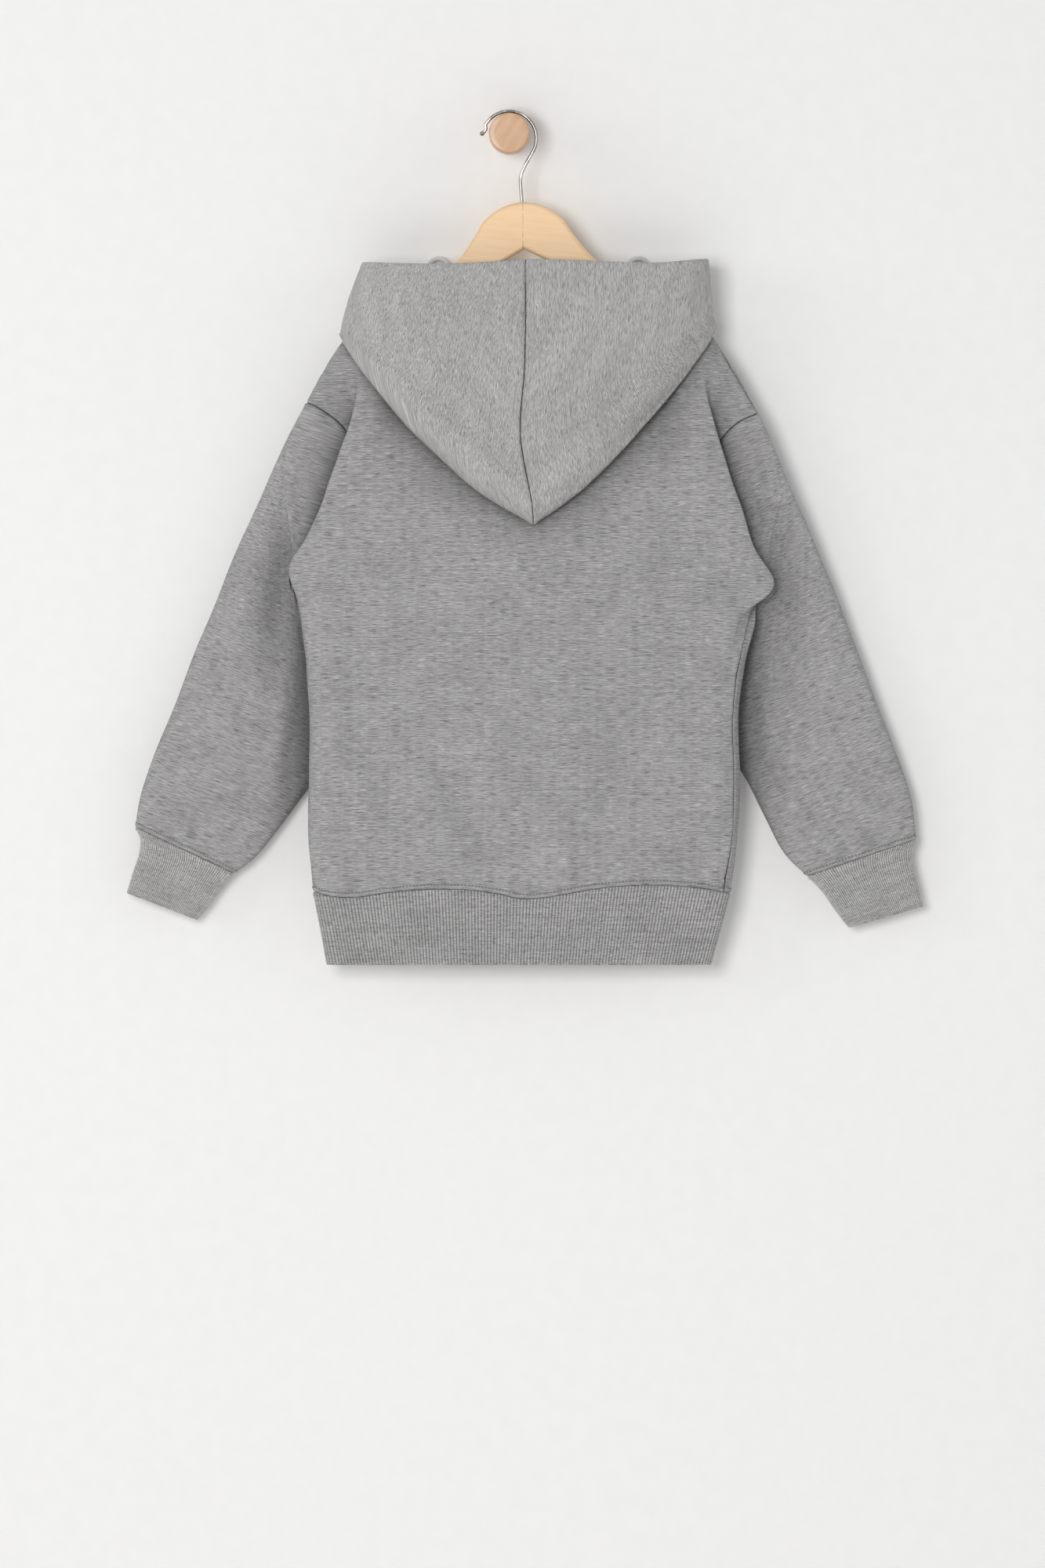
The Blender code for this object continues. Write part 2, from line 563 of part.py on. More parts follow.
HOOD_TURN = (5.6, 7, 8.4)  # stations at which the hood faces back, up and front
SHOULDER_OUT = (0.64, 0.77)  # which way out is there: to the side, and up
SHOULDER_RISE = (0.5, 0.86)  # which way the neck's roll stands there: to the middle, and up
NECK_AIM = (12, -60)  # and elsewhere: towards this x and height
NECK_ROLL = table("up over", (5, 0.2), (8, 2.2), (4.5, 4.6))  # from the neck seam over to the lay
LAY_SHARES = (0.14, 0.4, 0.7, 1)
RISE_SHARES = (0.3, 0.6, 0.85)
HEEL = 0.9  # how much of its half thickness the bag is round at its fold
WANDER_STATIONS = 3  # stations in which the middle seam's wander fades out


def neck_loop(back, front, side):
    """The neck seam from the middle of the back round one side to the middle of the front."""
    middle = back.shape[1] // 2
    behind = back[0, middle::side][: NECK_COLUMNS + 1]
    before = front[0, middle::side][: NECK_COLUMNS + 1][::-1]
    return np.concatenate([behind, before[1:]])


def lay_on(body, face, turn, x, drop):
    """A point of the hood's inner layer on the body: round the shoulder, or flat below it."""
    ridge_y, ridge_z = ridge_at(body[0], x)
    if 0 < turn < math.pi:
        rise = (RIDGE_ROUND + LAY_ROUND) * math.sin(turn) - RIDGE_ROUND
        return np.array([x, ridge_y - (RIDGE_HALF + LAY_ROUND) * math.cos(turn), ridge_z + rise])
    z = ridge_z - drop
    return np.array([x, float(skin_depth(x, z, face)) + face * LAY_GAP, z])


def hood_side(back, front, side):
    """One hood panel: up from the neck seam, over, down along the body, round the fold and up."""
    fold_rows = LEFT_HOOD_FOLD if side < 0 else RIGHT_HOOD_FOLD
    edge_rows = LEFT_HOOD_EDGE if side < 0 else RIGHT_HOOD_EDGE
    neck = neck_loop(back, front, side)
    fold = column(fold_rows, "station", "x y z", HOOD_STATIONS)
    edge = column(edge_rows, "station", "x y z", HOOD_STATIONS)
    half, bulge = column(HOOD_BODY, "station", "half bulge", HOOD_STATIONS).T
    panels = []
    for k, station in enumerate(HOOD_STATIONS):
        turn = math.radians(np.interp(station, HOOD_TURN, (0, 90, 180)))
        to_side, to_top = SHOULDER_OUT
        out = np.array([to_side * side * math.sin(turn), -math.cos(turn), to_top * math.sin(turn)])
        body, face = (back, -1) if station <= HOOD_TURN[1] else (front, 1)
        inward = unit(np.array([NECK_AIM[0], neck[k, 1], NECK_AIM[1]]) - neck[k])
        above = np.array([-SHOULDER_RISE[0] * side, 0, SHOULDER_RISE[1]])
        rise = unit(mix(inward, above, math.sin(turn)))
        roll = [neck[k]]
        for up, over in zip(NECK_ROLL["up"], NECK_ROLL["over"]):
            roll.append(neck[k] + up * rise + over * out)
        down = unit(fold[k] - mix(neck[k], edge[k], 0.5))
        down = unit(down - out * np.dot(down, out))
        heel = fold[k] - half[k] * HEEL * down
        last_drop = ridge_at(body[0], heel[0])[1] - heel[2]
        first_drop = max(RIDGE_ROUND, ridge_at(body[0], neck[k, 0])[1] - neck[k, 2] + 5)
        lay = []
        for share in LAY_SHARES:
            x = mix(neck[k, 0], heel[0], share)
            lay.append(lay_on(body, face, turn, x, mix(first_drop, last_drop, share**2)))
        over = heel + out * half[k]
        rising = []
        for share in RISE_SHARES:
            point = mix(over, edge[k], share) + out * bulge[k] * 4 * share * (1 - share)
            wander = lookup(SEAM_WANDER, "along", "x", share)
            point[0] += wander * max(0, 1 - station / WANDER_STATIONS)
            rising.append(point)
        lines = roll + lay + [fold[k], over] + rising + [edge[k]]
        panels.append(along(lines, HOOD_ROWS))
    return np.array(panels).transpose(1, 0, 2)


def hood(back, front, body):
    """Both hood panels, joined down the middle while the inner layer is laid on the body."""
    left = hood_side(back, front, -1)[:, ::-1]
    whole = np.concatenate([left, hood_side(back, front, 1)[:, 1:]], axis=1)
    whole = settle(whole, 4, 9, np.full(len(whole), LAY_GAP), body)
    whole[:, 0] = whole[:, -1] = mix(whole[:, 0], whole[:, -1], 0.5)
    middle = left.shape[1]
    return whole[:, :middle], whole[:, middle - 1 :]


# Walls ----------------------------------------------------------------------------------------


def quads(rows, columns, closed):
    """Corner numbers of a grid's faces."""
    across = columns if closed else columns - 1
    corners = []
    for i in range(rows - 1):
        for j in range(across):
            here, below, after = i * columns, (i + 1) * columns, (j + 1) % columns
            corners.append((here + j, here + after, below + after, below + j))
    return np.array(corners)


def face_normals(points, faces):
    normals = np.cross(points[faces[:, 2]] - points[faces[:, 0]], points[faces[:, 3]] - points[faces[:, 1]])
    return normals / np.maximum(np.linalg.norm(normals, axis=1, keepdims=True), 1e-9)


def shared_normals(skins):
    """Each point's outward direction, the same on both sides of a seam."""
    sums = {}
    for grid, closed, _ in skins.values():
        points = grid.reshape(-1, 3)
        faces = quads(*grid.shape[:2], closed)
        for face, normal in zip(faces, face_normals(points, faces)):
            for corner in face:
                key = tuple(np.round(points[corner], 3))
                sums.setdefault(key, []).append(normal)
    directions = {}
    for key, normals in sums.items():
        directions[key] = unit(np.sum(normals, axis=0))
    found = {}
    for name, (grid, _, _) in skins.items():
        points = grid.reshape(-1, 3)
        normals = [directions[tuple(np.round(point, 3))] for point in points]
        found[name] = np.array(normals).reshape(grid.shape)
    return found


def seam_pull(grid, directions, closed):
    """Half the seam gap, square to each seam and to the cloth's own outward direction."""
    pull = np.zeros_like(grid)
    edges = [(np.s_[0], np.s_[1]), (np.s_[-1], np.s_[-2])]
    if not closed:
        edges += [(np.s_[:, 0], np.s_[:, 1]), (np.s_[:, -1], np.s_[:, -2])]
    for edge, inside in edges:
        line = grid[edge]
        tangent = np.roll(line, -1, 0) - np.roll(line, 1, 0) if closed else np.gradient(line, axis=0)
        square = np.cross(unit(tangent), unit(directions[edge]))
        square /= np.maximum(np.linalg.norm(square, axis=1, keepdims=True), 1e-9)
        sign = np.sign(np.sum(square * (grid[inside] - line), axis=1, keepdims=True))
        pull[edge] += square * sign * SEAM_GAP / 2
    return pull


def wall(name, grid, directions, closed, thickness, material, home):
    """A closed cloth wall: the outer skin, the inner skin and the rims along its open edges."""
    pull = seam_pull(grid, directions, closed)
    outer = grid + pull
    inner = grid - directions * thickness + pull
    rows, columns = grid.shape[:2]
    count = rows * columns
    points = np.concatenate([outer.reshape(-1, 3), inner.reshape(-1, 3)]) * MM
    faces = quads(rows, columns, closed)
    number = np.arange(count).reshape(rows, columns)
    rims = [number[0], number[-1][::-1]] if closed else [
        np.concatenate([number[0], number[1:, -1], number[-1, -2::-1], number[-2:0:-1, 0]])
    ]
    mesh_faces = [tuple(face) for face in faces[:, ::-1]] + [tuple(face + count) for face in faces]
    corner = grid.reshape(-1, 3).round(3).tolist()
    for rim in rims:
        for a, b in zip(rim, np.roll(rim, -1)):
            # cut the same way on both sides of a seam
            if corner[a] < corner[b]:
                mesh_faces += [(a, b, b + count), (a, b + count, a + count)]
            else:
                mesh_faces += [(a, b, a + count), (b, b + count, a + count)]
    mesh = bpy.data.meshes.new(name)
    corners = [tuple(int(number) for number in face) for face in mesh_faces]
    mesh.from_pydata(points.tolist(), [], corners)
    work = bmesh.new()
    work.from_mesh(mesh)
    bmesh.ops.triangulate(work, faces=work.faces[:])
    bmesh.ops.recalc_face_normals(work, faces=work.faces[:])
    work.to_mesh(mesh)
    work.free()
    mesh.shade_smooth()
    mesh.set_sharp_from_angle(angle=math.radians(50))
    return add(name, mesh, material, home)


# Objects --------------------------------------------------------------------------------------


def collection(name):
    home = bpy.data.collections.new(name)
    bpy.context.scene.collection.children.link(home)
    return home


def finish(name, colour, roughness, metallic=0.0):
    material = bpy.data.materials.new(name)
    material.use_nodes = True
    shader = material.node_tree.nodes["Principled BSDF"]
    shader.inputs["Base Color"].default_value = (*colour, 1)
    shader.inputs["Roughness"].default_value = roughness
    shader.inputs["Metallic"].default_value = metallic
    return material


def add(name, data, material, home):
    obj = bpy.data.objects.new(name, data)
    data.materials.append(material)
    home.objects.link(obj)
    return obj


def wire(name, points, radius, material, home):
    curve = bpy.data.curves.new(name, "CURVE")
    curve.dimensions = "3D"
    curve.bevel_depth = radius * MM
    curve.bevel_resolution = 2
    curve.render_resolution_u = 0
    curve.use_fill_caps = True
    spline = curve.splines.new("POLY")
    spline.points.add(len(points) - 1)
    for point, place in zip(spline.points, points):
        point.co = (*(float(value) * MM for value in place), 1)
    return add(name, curve, material, home)


def hanger_bar(material, home):
    outs = np.concatenate([np.linspace(0, 60, 13), np.linspace(66, 140, 5), [146, 150, 152.3]])
    top = np.stack([outs, lookup(HANGER_TOP, "out", "up", outs)], axis=1)
    under = np.stack([HANGER_UNDER["out"], HANGER_UNDER["up"]], axis=1)
    half = np.concatenate([top, under])
    outline = np.concatenate([half, half[-2:0:-1] * (-1, 1)])
    curve = bpy.data.curves.new("hanger_bar", "CURVE")
    curve.dimensions = "2D"
    curve.fill_mode = "BOTH"
    curve.extrude = (HANGER_THICKNESS / 2 - HANGER_EDGE) * MM
    curve.bevel_depth = HANGER_EDGE * MM
    curve.offset = -HANGER_EDGE * MM
    curve.bevel_resolution = 1
    curve.render_resolution_u = 0
    spline = curve.splines.new("POLY")
    spline.use_cyclic_u = True
    spline.points.add(len(outline) - 1)
    for point, (x, z) in zip(spline.points, outline):
        point.co = (x * MM, z * MM, 0, 1)
    bar = add("hanger_bar", curve, material, home)
    bar.location = (HANGER_APEX[0] * MM, HOOK_Y * MM, HANGER_APEX[1] * MM)
    bar.rotation_euler = (math.pi / 2, -HANGER_TILT, 0)
    return bar


def hanger_hook(material, home):
    stem = np.stack([HOOK_PATH["x"], HOOK_PATH["z"]], axis=1)
    middle_z = PEG_RADIUS + SEAM_GAP + WIRE_RADIUS - HOOK_RADIUS
    turns = np.radians(np.linspace(-32, 150, 20))
    arc = np.stack([HOOK_RADIUS * np.cos(turns), middle_z + HOOK_RADIUS * np.sin(turns)], axis=1)
    tip = np.stack([HOOK_END["x"], HOOK_END["z"]], axis=1)
    keys = np.concatenate([stem[:-1], arc, tip[1:]])
    far = lengths(keys)
    path = smooth(far, keys, np.linspace(0, far[-1], 45))
    return wire("hanger_hook", [(x, HOOK_Y, z) for x, z in path], WIRE_RADIUS, material, home)


def wall_peg(material, home):
    profile = [(0, 0), (PEG_RADIUS, 0), (PEG_RADIUS, PEG_LENGTH - PEG_EDGE)]
    profile += [(PEG_RADIUS - PEG_EDGE, PEG_LENGTH), (0, PEG_LENGTH)]
    mesh = bpy.data.meshes.new("wall_peg")
    mesh.from_pydata([(r * MM, 0, h * MM) for r, h in profile[::-1]], [(i, i + 1) for i in range(4)], [])
    peg = add("wall_peg", mesh, material, home)
    turn = peg.modifiers.new("turn", "SCREW")
    turn.axis = "Z"
    turn.steps = turn.render_steps = 48
    turn.use_merge_vertices = True
    turn.merge_threshold = 0.0001
    peg.rotation_euler = (math.pi / 2, 0, 0)
    return peg


def knot(name, centre, material, home):
    work = bmesh.new()
    bmesh.ops.create_uvsphere(work, u_segments=12, v_segments=8, radius=KNOT_RADIUS * MM)
    mesh = bpy.data.meshes.new(name)
    work.to_mesh(mesh)
    work.free()
    mesh.shade_smooth()
    obj = add(name, mesh, material, home)
    obj.location = tuple(float(value) * MM for value in centre)
    return obj


def cord_route(side, out_x, out_y, in_y, knot_y):
    """From its hole up the hood's front, over the edge in one round bend and down inside."""
    in_x = out_x - side * math.sqrt((2 * CORD_BEND) ** 2 - (out_y - in_y) ** 2)
    bow = out_y + CORD_BOW
    keys = []
    for turn in np.radians(np.linspace(-45, 0, 4)):
        keys.append((out_x, bow - CORD_BEND * (1 - math.cos(turn)), CORD_EXIT + CORD_BEND * math.sin(turn)))
    keys += [(out_x, bow - 0.3, CORD_EXIT + 10), (out_x, out_y + 0.6, CORD_EXIT + 21)]
    for turn in np.linspace(0, math.pi, 13):
        over = (1 - math.cos(turn)) / 2
        lift = CORD_BEND * (math.sin(turn) - 1)
        keys.append((mix(out_x, in_x, over), mix(out_y, in_y, over), CORD_TOP + lift))
    keys += [(in_x, in_y - 0.1, CORD_TOP - 22), (in_x, mix(in_y, knot_y, 0.35), CORD_TOP - 44)]
    keys.append((in_x, knot_y, CORD_END))
    far = lengths(np.array(keys))
    return smooth(far, keys, np.linspace(0, far[-1], CORD_POINTS))


def drawcord(side_name, route, material, home):
    wire(f"drawcord_{side_name}", route, CORD_RADIUS, material, home)
    centre = route[-1] + unit(route[-1] - route[-2]) * (KNOT_RADIUS + SEAM_GAP)
    knot(f"cord_knot_{side_name}", centre, material, home)


def main():
    for obj in list(bpy.data.objects):
        bpy.data.objects.remove(obj, do_unlink=True)
    home = collection("pullover_hoodie_on_hanger")
    fleece = finish("grey marl fleece", (0.33, 0.325, 0.325), 0.95)
    hood_fleece = finish("grey marl hood fleece", (0.39, 0.385, 0.38), 0.95)
    rib = finish("grey marl rib", (0.31, 0.305, 0.3), 0.95)
    cord = finish("grey cord", (0.36, 0.355, 0.35), 0.9)
    beech = finish("pale beech", (0.78, 0.55, 0.33), 0.45)
    chrome = finish("chrome wire", (0.75, 0.75, 0.76), 0.15, 1.0)

    back, front = torso()
    arm = ARM_ROWS + len(RIDGE_TURNS) + 1
    body = surface([back[:, ::-1], front])
    sleeve_left = sleeve(LEFT_SLEEVE, back[:arm, 0], front[:arm, 0])
    sleeve_right = sleeve(RIGHT_SLEEVE, back[:arm, -1], front[:arm, -1])
    hood_left, hood_right = hood(back, front, body)
    # Each skin's points, whether they close round, and its material. Columns run so that the skin faces out.
    skins = {
        "back_panel": (back[:, ::-1], False, fleece),
        "front_panel": (front, False, fleece),
        "sleeve_left": (sleeve_left[:, ::-1], True, fleece),
        "sleeve_right": (sleeve_right, True, fleece),
        "cuff_left": (cuff(LEFT_CUFF, sleeve_left[-1])[:, ::-1], True, rib),
        "cuff_right": (cuff(RIGHT_CUFF, sleeve_right[-1]), True, rib),
        "hem_band": (hem_band(back[-1], front[-1])[:, ::-1], True, rib),
        "hood_left": (hood_left, False, hood_fleece),
        "hood_right": (hood_right, False, hood_fleece),
    }
    directions = shared_normals(skins)
    for name, (grid, closed, material) in skins.items():
        thickness = RIB if material is rib else FLEECE
        wall(name, grid, directions[name], closed, thickness, material, home)
    for side_name, row in zip(("left", "right"), zip(*CORDS.values())):
        drawcord(side_name, cord_route(*row), cord, home)
    hanger_bar(beech, home)
    hanger_hook(chrome, home)
    wall_peg(beech, home)


main()
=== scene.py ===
# A child's pullover hoodie on a small wooden hanger, hung from a round peg on a white wall.
# The cuts below are in millimetres, and meshes are made in metres.

import math

import bpy
import numpy as np
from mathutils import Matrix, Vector
from mathutils.bvhtree import BVHTree


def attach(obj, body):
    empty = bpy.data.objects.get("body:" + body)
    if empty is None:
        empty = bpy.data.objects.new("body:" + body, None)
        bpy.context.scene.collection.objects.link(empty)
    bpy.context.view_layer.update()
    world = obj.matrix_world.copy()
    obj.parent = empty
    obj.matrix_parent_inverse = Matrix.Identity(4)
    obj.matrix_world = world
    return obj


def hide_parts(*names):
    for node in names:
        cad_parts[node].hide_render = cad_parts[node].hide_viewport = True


mm = 0.001
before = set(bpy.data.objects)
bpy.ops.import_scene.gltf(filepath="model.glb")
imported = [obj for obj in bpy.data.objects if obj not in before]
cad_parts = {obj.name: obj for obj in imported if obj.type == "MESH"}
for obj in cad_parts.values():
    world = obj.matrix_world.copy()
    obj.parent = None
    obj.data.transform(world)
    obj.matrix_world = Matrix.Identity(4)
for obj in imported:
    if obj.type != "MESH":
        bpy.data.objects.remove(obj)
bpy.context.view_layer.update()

cloth = {
    "fleece": 2.5,  # wall of the brushed fleece
    "rib": 2.3,
    "seamGap": 0.3,
    "step": 3.35,  # between points of the finished cloth
    "usual": 80,  # the percentile of a row's cells that sets its step
    "seamRound": 0.55,  # how far a sewn edge rolls in to its seam
    "edgeRound": 1.05,  # and a folded edge
    "rimTurns": (45, 90, 135),  # degrees round a rim at which it has points
    "drawnIn": 8.0,  # how far in from an edge the cloth is drawn with it
    "seamRows": (0.5, 1.2, 2.2),  # extra rows beside a seam
    "seamSpace": 0.8,  # between the last of them and the plain rows
    "pucker": 0.22,  # ripple of the cloth beside its seams
    "puckerReach": 7.0,
    "ripples": (1.9, 11.0, 23.0),  # the pucker's short ripple, its drift and its swell
    "rippleDrift": 2.3,
    "seamPad": 0.45,  # the doubled cloth beside a seam stands out this much
    "padAt": 2.2,
    "padWidth": 1.3,
    "seamSink": 0.35,  # and the seam itself is sunk
    "sinkWidth": 1.5,
}


def table(names, *rows):
    return {name: np.array(column, float) for name, column in zip(names.split(), zip(*rows))}


# Curves and grids


# A smooth curve through values at rising keys, read at the given places
def smooth(keys, values, at):
    keys = np.asarray(keys, float)
    values = np.asarray(values, float)
    at = np.clip(np.asarray(at, float), keys[0], keys[-1])
    step = np.diff(keys)
    shape = (-1,) + (1,) * (values.ndim - 1)
    slope = np.diff(values, axis=0) / step.reshape(shape)
    before, after = step[:-1].reshape(shape), step[1:].reshape(shape)
    middle = (after * slope[:-1] + before * slope[1:]) / (before + after)
    tangent = np.concatenate([slope[:1], middle, slope[-1:]])
    i = np.clip(np.searchsorted(keys, at, side="right") - 1, 0, len(step) - 1)
    t = ((at - keys[i]) / step[i]).reshape(shape)
    h = step[i].reshape(t.shape)
    return (
        (2 * t**3 - 3 * t**2 + 1) * values[i]
        + (t**3 - 2 * t**2 + t) * h * tangent[i]
        + (3 * t**2 - 2 * t**3) * values[i + 1]
        + (t**3 - t**2) * h * tangent[i + 1]
    )


# The named columns of a table, smoothed over its key column
def column(rows, key, names, at):
    order = np.argsort(rows[key])
    return smooth(rows[key][order], np.stack([rows[name][order] for name in names.split()], axis=1), at)


def lookup(rows, key, name, at):
    at = np.asarray(at, float)
    return column(rows, key, name, at.ravel())[:, 0].reshape(at.shape)


# Running sums along an axis, from 0
def running(steps, axis=0):
    return np.concatenate([np.zeros_like(steps.take([0], axis)), np.cumsum(steps, axis)], axis)


def lengths(points):
    return running(np.linalg.norm(np.diff(points, axis=0), axis=1))


# A smooth curve through points, read at places measured in points
def along(points, at):
    points = np.asarray(points, float)
    far = lengths(points)
    return smooth(far, points, np.interp(at, np.arange(len(points)), far))


def unit(vectors):
    return vectors / np.maximum(np.linalg.norm(vectors, axis=-1, keepdims=True), 1e-9)


def mix(a, b, share):
    return a + (b - a) * share


# The shoulder line over the hanger's arms


hangerLine = {
    "y": -42.0,
    "apex": (11.6, -61.5),
    "tilt": math.radians(2.4),
    "lift": 6.2,  # cloth and clearance over the arms
    "shoulder": (149, 112),  # the garment's shoulder line on an arm, outer end first
    "top": table(
        "out up",
        (0, 0), (12, -2.0), (27, -9.0), (36, -17.0), (43, -28.0), (50, -38.0),
        (60, -50.5), (80, -65), (110, -82), (140, -99), (150, -106), (152.5, -113),
    ),
}


# A point given from the hanger's apex, turned by its tilt
def onHanger(out, up):
    (x, z), tilt = hangerLine["apex"], hangerLine["tilt"]
    return x + out * math.cos(tilt) - up * math.sin(tilt), z + out * math.sin(tilt) + up * math.cos(tilt)


# The shoulder line on the hanger's arm, from its end in to the neck
def shoulder(side):
    outs = hangerLine["shoulder"]
    ups = lookup(hangerLine["top"], "out", "up", outs) + hangerLine["lift"]
    xs, zs = onHanger(side * np.array(outs), ups)
    return np.stack([xs, np.full(len(outs), hangerLine["y"]), zs], axis=1)


# The depth and height of a line that runs across, at x
def ridgeAt(line, x):
    line = line[np.argsort(line[:, 0])]
    return np.interp(x, line[:, 0], line[:, 1]), np.interp(x, line[:, 0], line[:, 2])


# Body: back and front panels


foldNames = "row seamX seamY seamZ tuckX tuckY tuckZ foldX foldY foldZ"
torsoCut = {
    "ridgeRound": 11.0,  # how far under the shoulder line the cloth takes to reach its full depth
    "ridgeHalf": 9.5,  # half the garment's depth there
    "ridgeTurns": (30, 60),  # degrees round the shoulder at which rows are put in
    "armRows": 10,  # rows from the shoulder tip to the underarm
    "sideRows": 6,  # and from there to the hem seam
    "sideSpacing": 1.25,
    "stripColumns": (0.0, 1.0, 1.5, 2.0, 3.0),  # along seam, tuck, fold, brow
    "shoulderColumns": 2,
    "neckColumns": 6,  # on each side of the neckline's middle
    "underNeck": 7,  # from the neckline to the first row under it
    "middle": 12.0,  # the body hangs this far to the right of the peg
    "backCrown": 5.0,  # how far the middle of a panel stands out
    "frontCrown": 2.0,
    "crownReach": 150.0,  # how far it runs to each side
    "crownTop": -120.0,  # the height it starts at
    "crownFade": 120.0,  # and the drop in which it is full
    "brow": 14.0,  # from a fold's outer line in to the flat of the back
    "browDepth": 3.5,  # the brow stands this much further out than the fold
    "browLift": 15.5,  # and is this much higher at the shoulder
    "browLiftRows": 5,
    "browStart": (1.5, 2, 1),  # its first row under the shoulder, past the ridge: in, out and down
    "browColumns": 2,  # columns in which a panel takes up its brow's depth
    "settleRows": 2,  # rows in which a fold opens out below the underarm
    "tuckIn": (1.0, 0.4),  # the tuck inside the side's outline, from the underarm down
    # below the underarm: how far in the seam lies, and the depths of seam, tuck and fold
    "leftLow": (3.0, (-37.0, -43.0, -50.0)),
    "rightLow": (5.0, (-58.0, -58.5, -50.0)),
    "rightSpread": (0.3, 0.65),  # tuck and fold on the way from seam to brow, on the plain right side
    "frontInsets": (6, 14, 26),  # lines on the front, inside its armhole
    "fanRows": 6,  # rows in which they fan out from the shoulder
    "fanFall": 1.6,  # at first they fall this many times as far as the seam
    "fanBend": 0.8,  # the smaller, the sooner they are level with it
    "frontStart": (5, 9, 12),  # their first drop
    "leftFront": table("inset y", (7, -33.5), (14, -31.5), (26, -31)),  # and inside the side seam
    "rightFront": table("inset y", (0, -47), (4, -37), (16, -31.5)),  # where the side wraps round
    "backDepth": table(
        "z y",
        (-745, -57), (-680, -59), (-640, -61), (-400, -61), (-300, -60), (-200, -56), (-120, -51.5),
    ),
    "frontDepth": table(
        "z y", (-745, -33), (-680, -32), (-640, -31), (-300, -31), (-200, -32), (-120, -32.5)
    ),
    # down each side of the back: seam, tuck behind the fold, and the fold's outer line
    "leftFold": table(
        foldNames,
        (0, -181, -42, -240, -166, -42, -213, -150, -42, -187),
        (1, -178.5, -45.5, -241.5, -161, -48, -216, -144, -51.5, -191),
        (2, -173, -47, -244, -152, -49.5, -222, -137.5, -56, -200),
        (3.5, -161, -47, -252, -141, -50, -237, -135.5, -58.5, -221),
        (5, -146, -46, -266, -136.5, -50, -259, -140.5, -59.5, -252),
        (6.5, -142, -45, -293, -145.5, -50.5, -291, -153.5, -60, -290),
        (8, -157, -45, -335, -161.5, -51, -334, -169.5, -60, -336),
        (9, -172, -45, -363, -176, -51, -362, -184, -59, -365),
        (10, -191, -40, -388, -195, -47, -388, -196.5, -55, -387.5),
    ),
    "rightFold": table(
        foldNames,
        (0, 222, -43.5, -250, 203, -43, -216, 182.5, -42.5, -183.5),
        (1, 219, -47, -251.5, 197, -49, -220, 177.5, -51.5, -191),
        (2, 213, -48.5, -254, 188, -50, -226, 173.5, -56, -202),
        (3.5, 200, -48.5, -262, 180, -50.5, -242, 174.5, -58.5, -224),
        (5, 187, -47, -278, 178.5, -51, -268, 182.5, -59.5, -256),
        (6.5, 184, -46, -304, 187, -51.5, -300, 194.5, -60, -297),
        (8, 198, -46, -343, 201.5, -52, -341, 208.5, -60, -337),
        (9, 208.5, -45, -371, 213.5, -51.5, -371, 218.5, -59, -370),
        (10, 222.5, -41, -400, 231, -48.5, -402.5, 236.7, -55, -403.6),
    ),
    "leftArmhole": table(
        "row x y z",
        (0, -181, -42, -240), (2, -174, -35, -248), (4, -163, -32.5, -268), (6, -158, -32, -299),
        (8, -166, -32, -343), (9, -176.5, -33, -367), (10, -191, -40, -388),
    ),
    "rightArmhole": table(
        "row x y z",
        (0, 222, -43.5, -250), (1, 222.5, -38.5, -253), (2, 217, -35, -260), (4, 205, -32.5, -280),
        (6, 199, -32, -311), (8, 204, -32, -353), (9, 211.5, -33.5, -378), (10, 222.5, -41, -400),
    ),
    "leftSide": table(
        "z x",
        (-387.5, -196.5), (-405, -191.5), (-425, -187.5), (-457, -183), (-497, -179), (-527, -176.5),
        (-567, -178.5), (-600, -179), (-651, -180), (-668, -177.5), (-677.5, -174.5),
    ),
    "rightSide": table(
        "z x",
        (-403.6, 236.7), (-410, 230), (-418, 222.5), (-430, 220.5), (-458, 214), (-487, 208), (-522, 205),
        (-564, 205.5), (-621, 205), (-650, 202.5), (-679, 197),
    ),
    "hemSeam": table(
        "x z",
        (-174.5, -677.5), (-149, -683.5), (-130, -681.5), (-95, -677), (-53, -675.6), (-20, -677.5),
        (12, -684), (38, -682), (71, -676), (119, -671.7), (159, -673.5), (197, -679),
    ),
    "backNeck": table(
        "x y z",
        (-71.6, -42, -127.7), (-70.2, -49.6, -130.8), (-65, -53, -136.5), (-48, -52.8, -140.5),
        (-30, -53.2, -142.5), (-10, -53.4, -143.4), (12, -53.5, -143.8), (34, -53.4, -143.2),
        (54, -53, -141.3), (73, -52.6, -138), (93.3, -53, -129.5), (98.6, -49.6, -123.7),
        (100.2, -42, -120.6),
    ),
    "frontNeck": table(
        "x y z",
        (-71.6, -42, -127.7), (-70.6, -34.4, -131), (-67.5, -31.2, -140), (-59, -32, -166), (-43, -32, -192),
        (-18, -32, -213), (12, -32, -222), (42, -32, -213), (69, -32, -191), (86, -32, -163),
        (95.6, -31.2, -135), (99.2, -34.4, -124.3), (100.2, -42, -120.6),
    ),
}


# The plain depth of the back (side -1) or front (side 1), with its gentle crown
def skinDepth(x, z, side):
    name = "back" if side < 0 else "front"
    depth = lookup(torsoCut[name + "Depth"], "z", "y", z)
    share = np.clip(1 - ((x - torsoCut["middle"]) / torsoCut["crownReach"]) ** 2, 0, 1)
    share = share * np.clip((torsoCut["crownTop"] - z) / torsoCut["crownFade"], 0, 1)
    return depth + side * torsoCut[name + "Crown"] * share


# How much of its full depth the cloth has this far below the shoulder line
def rounded(drop):
    return np.sqrt(1 - (1 - np.clip(drop / torsoCut["ridgeRound"], 0, 1)) ** 2)


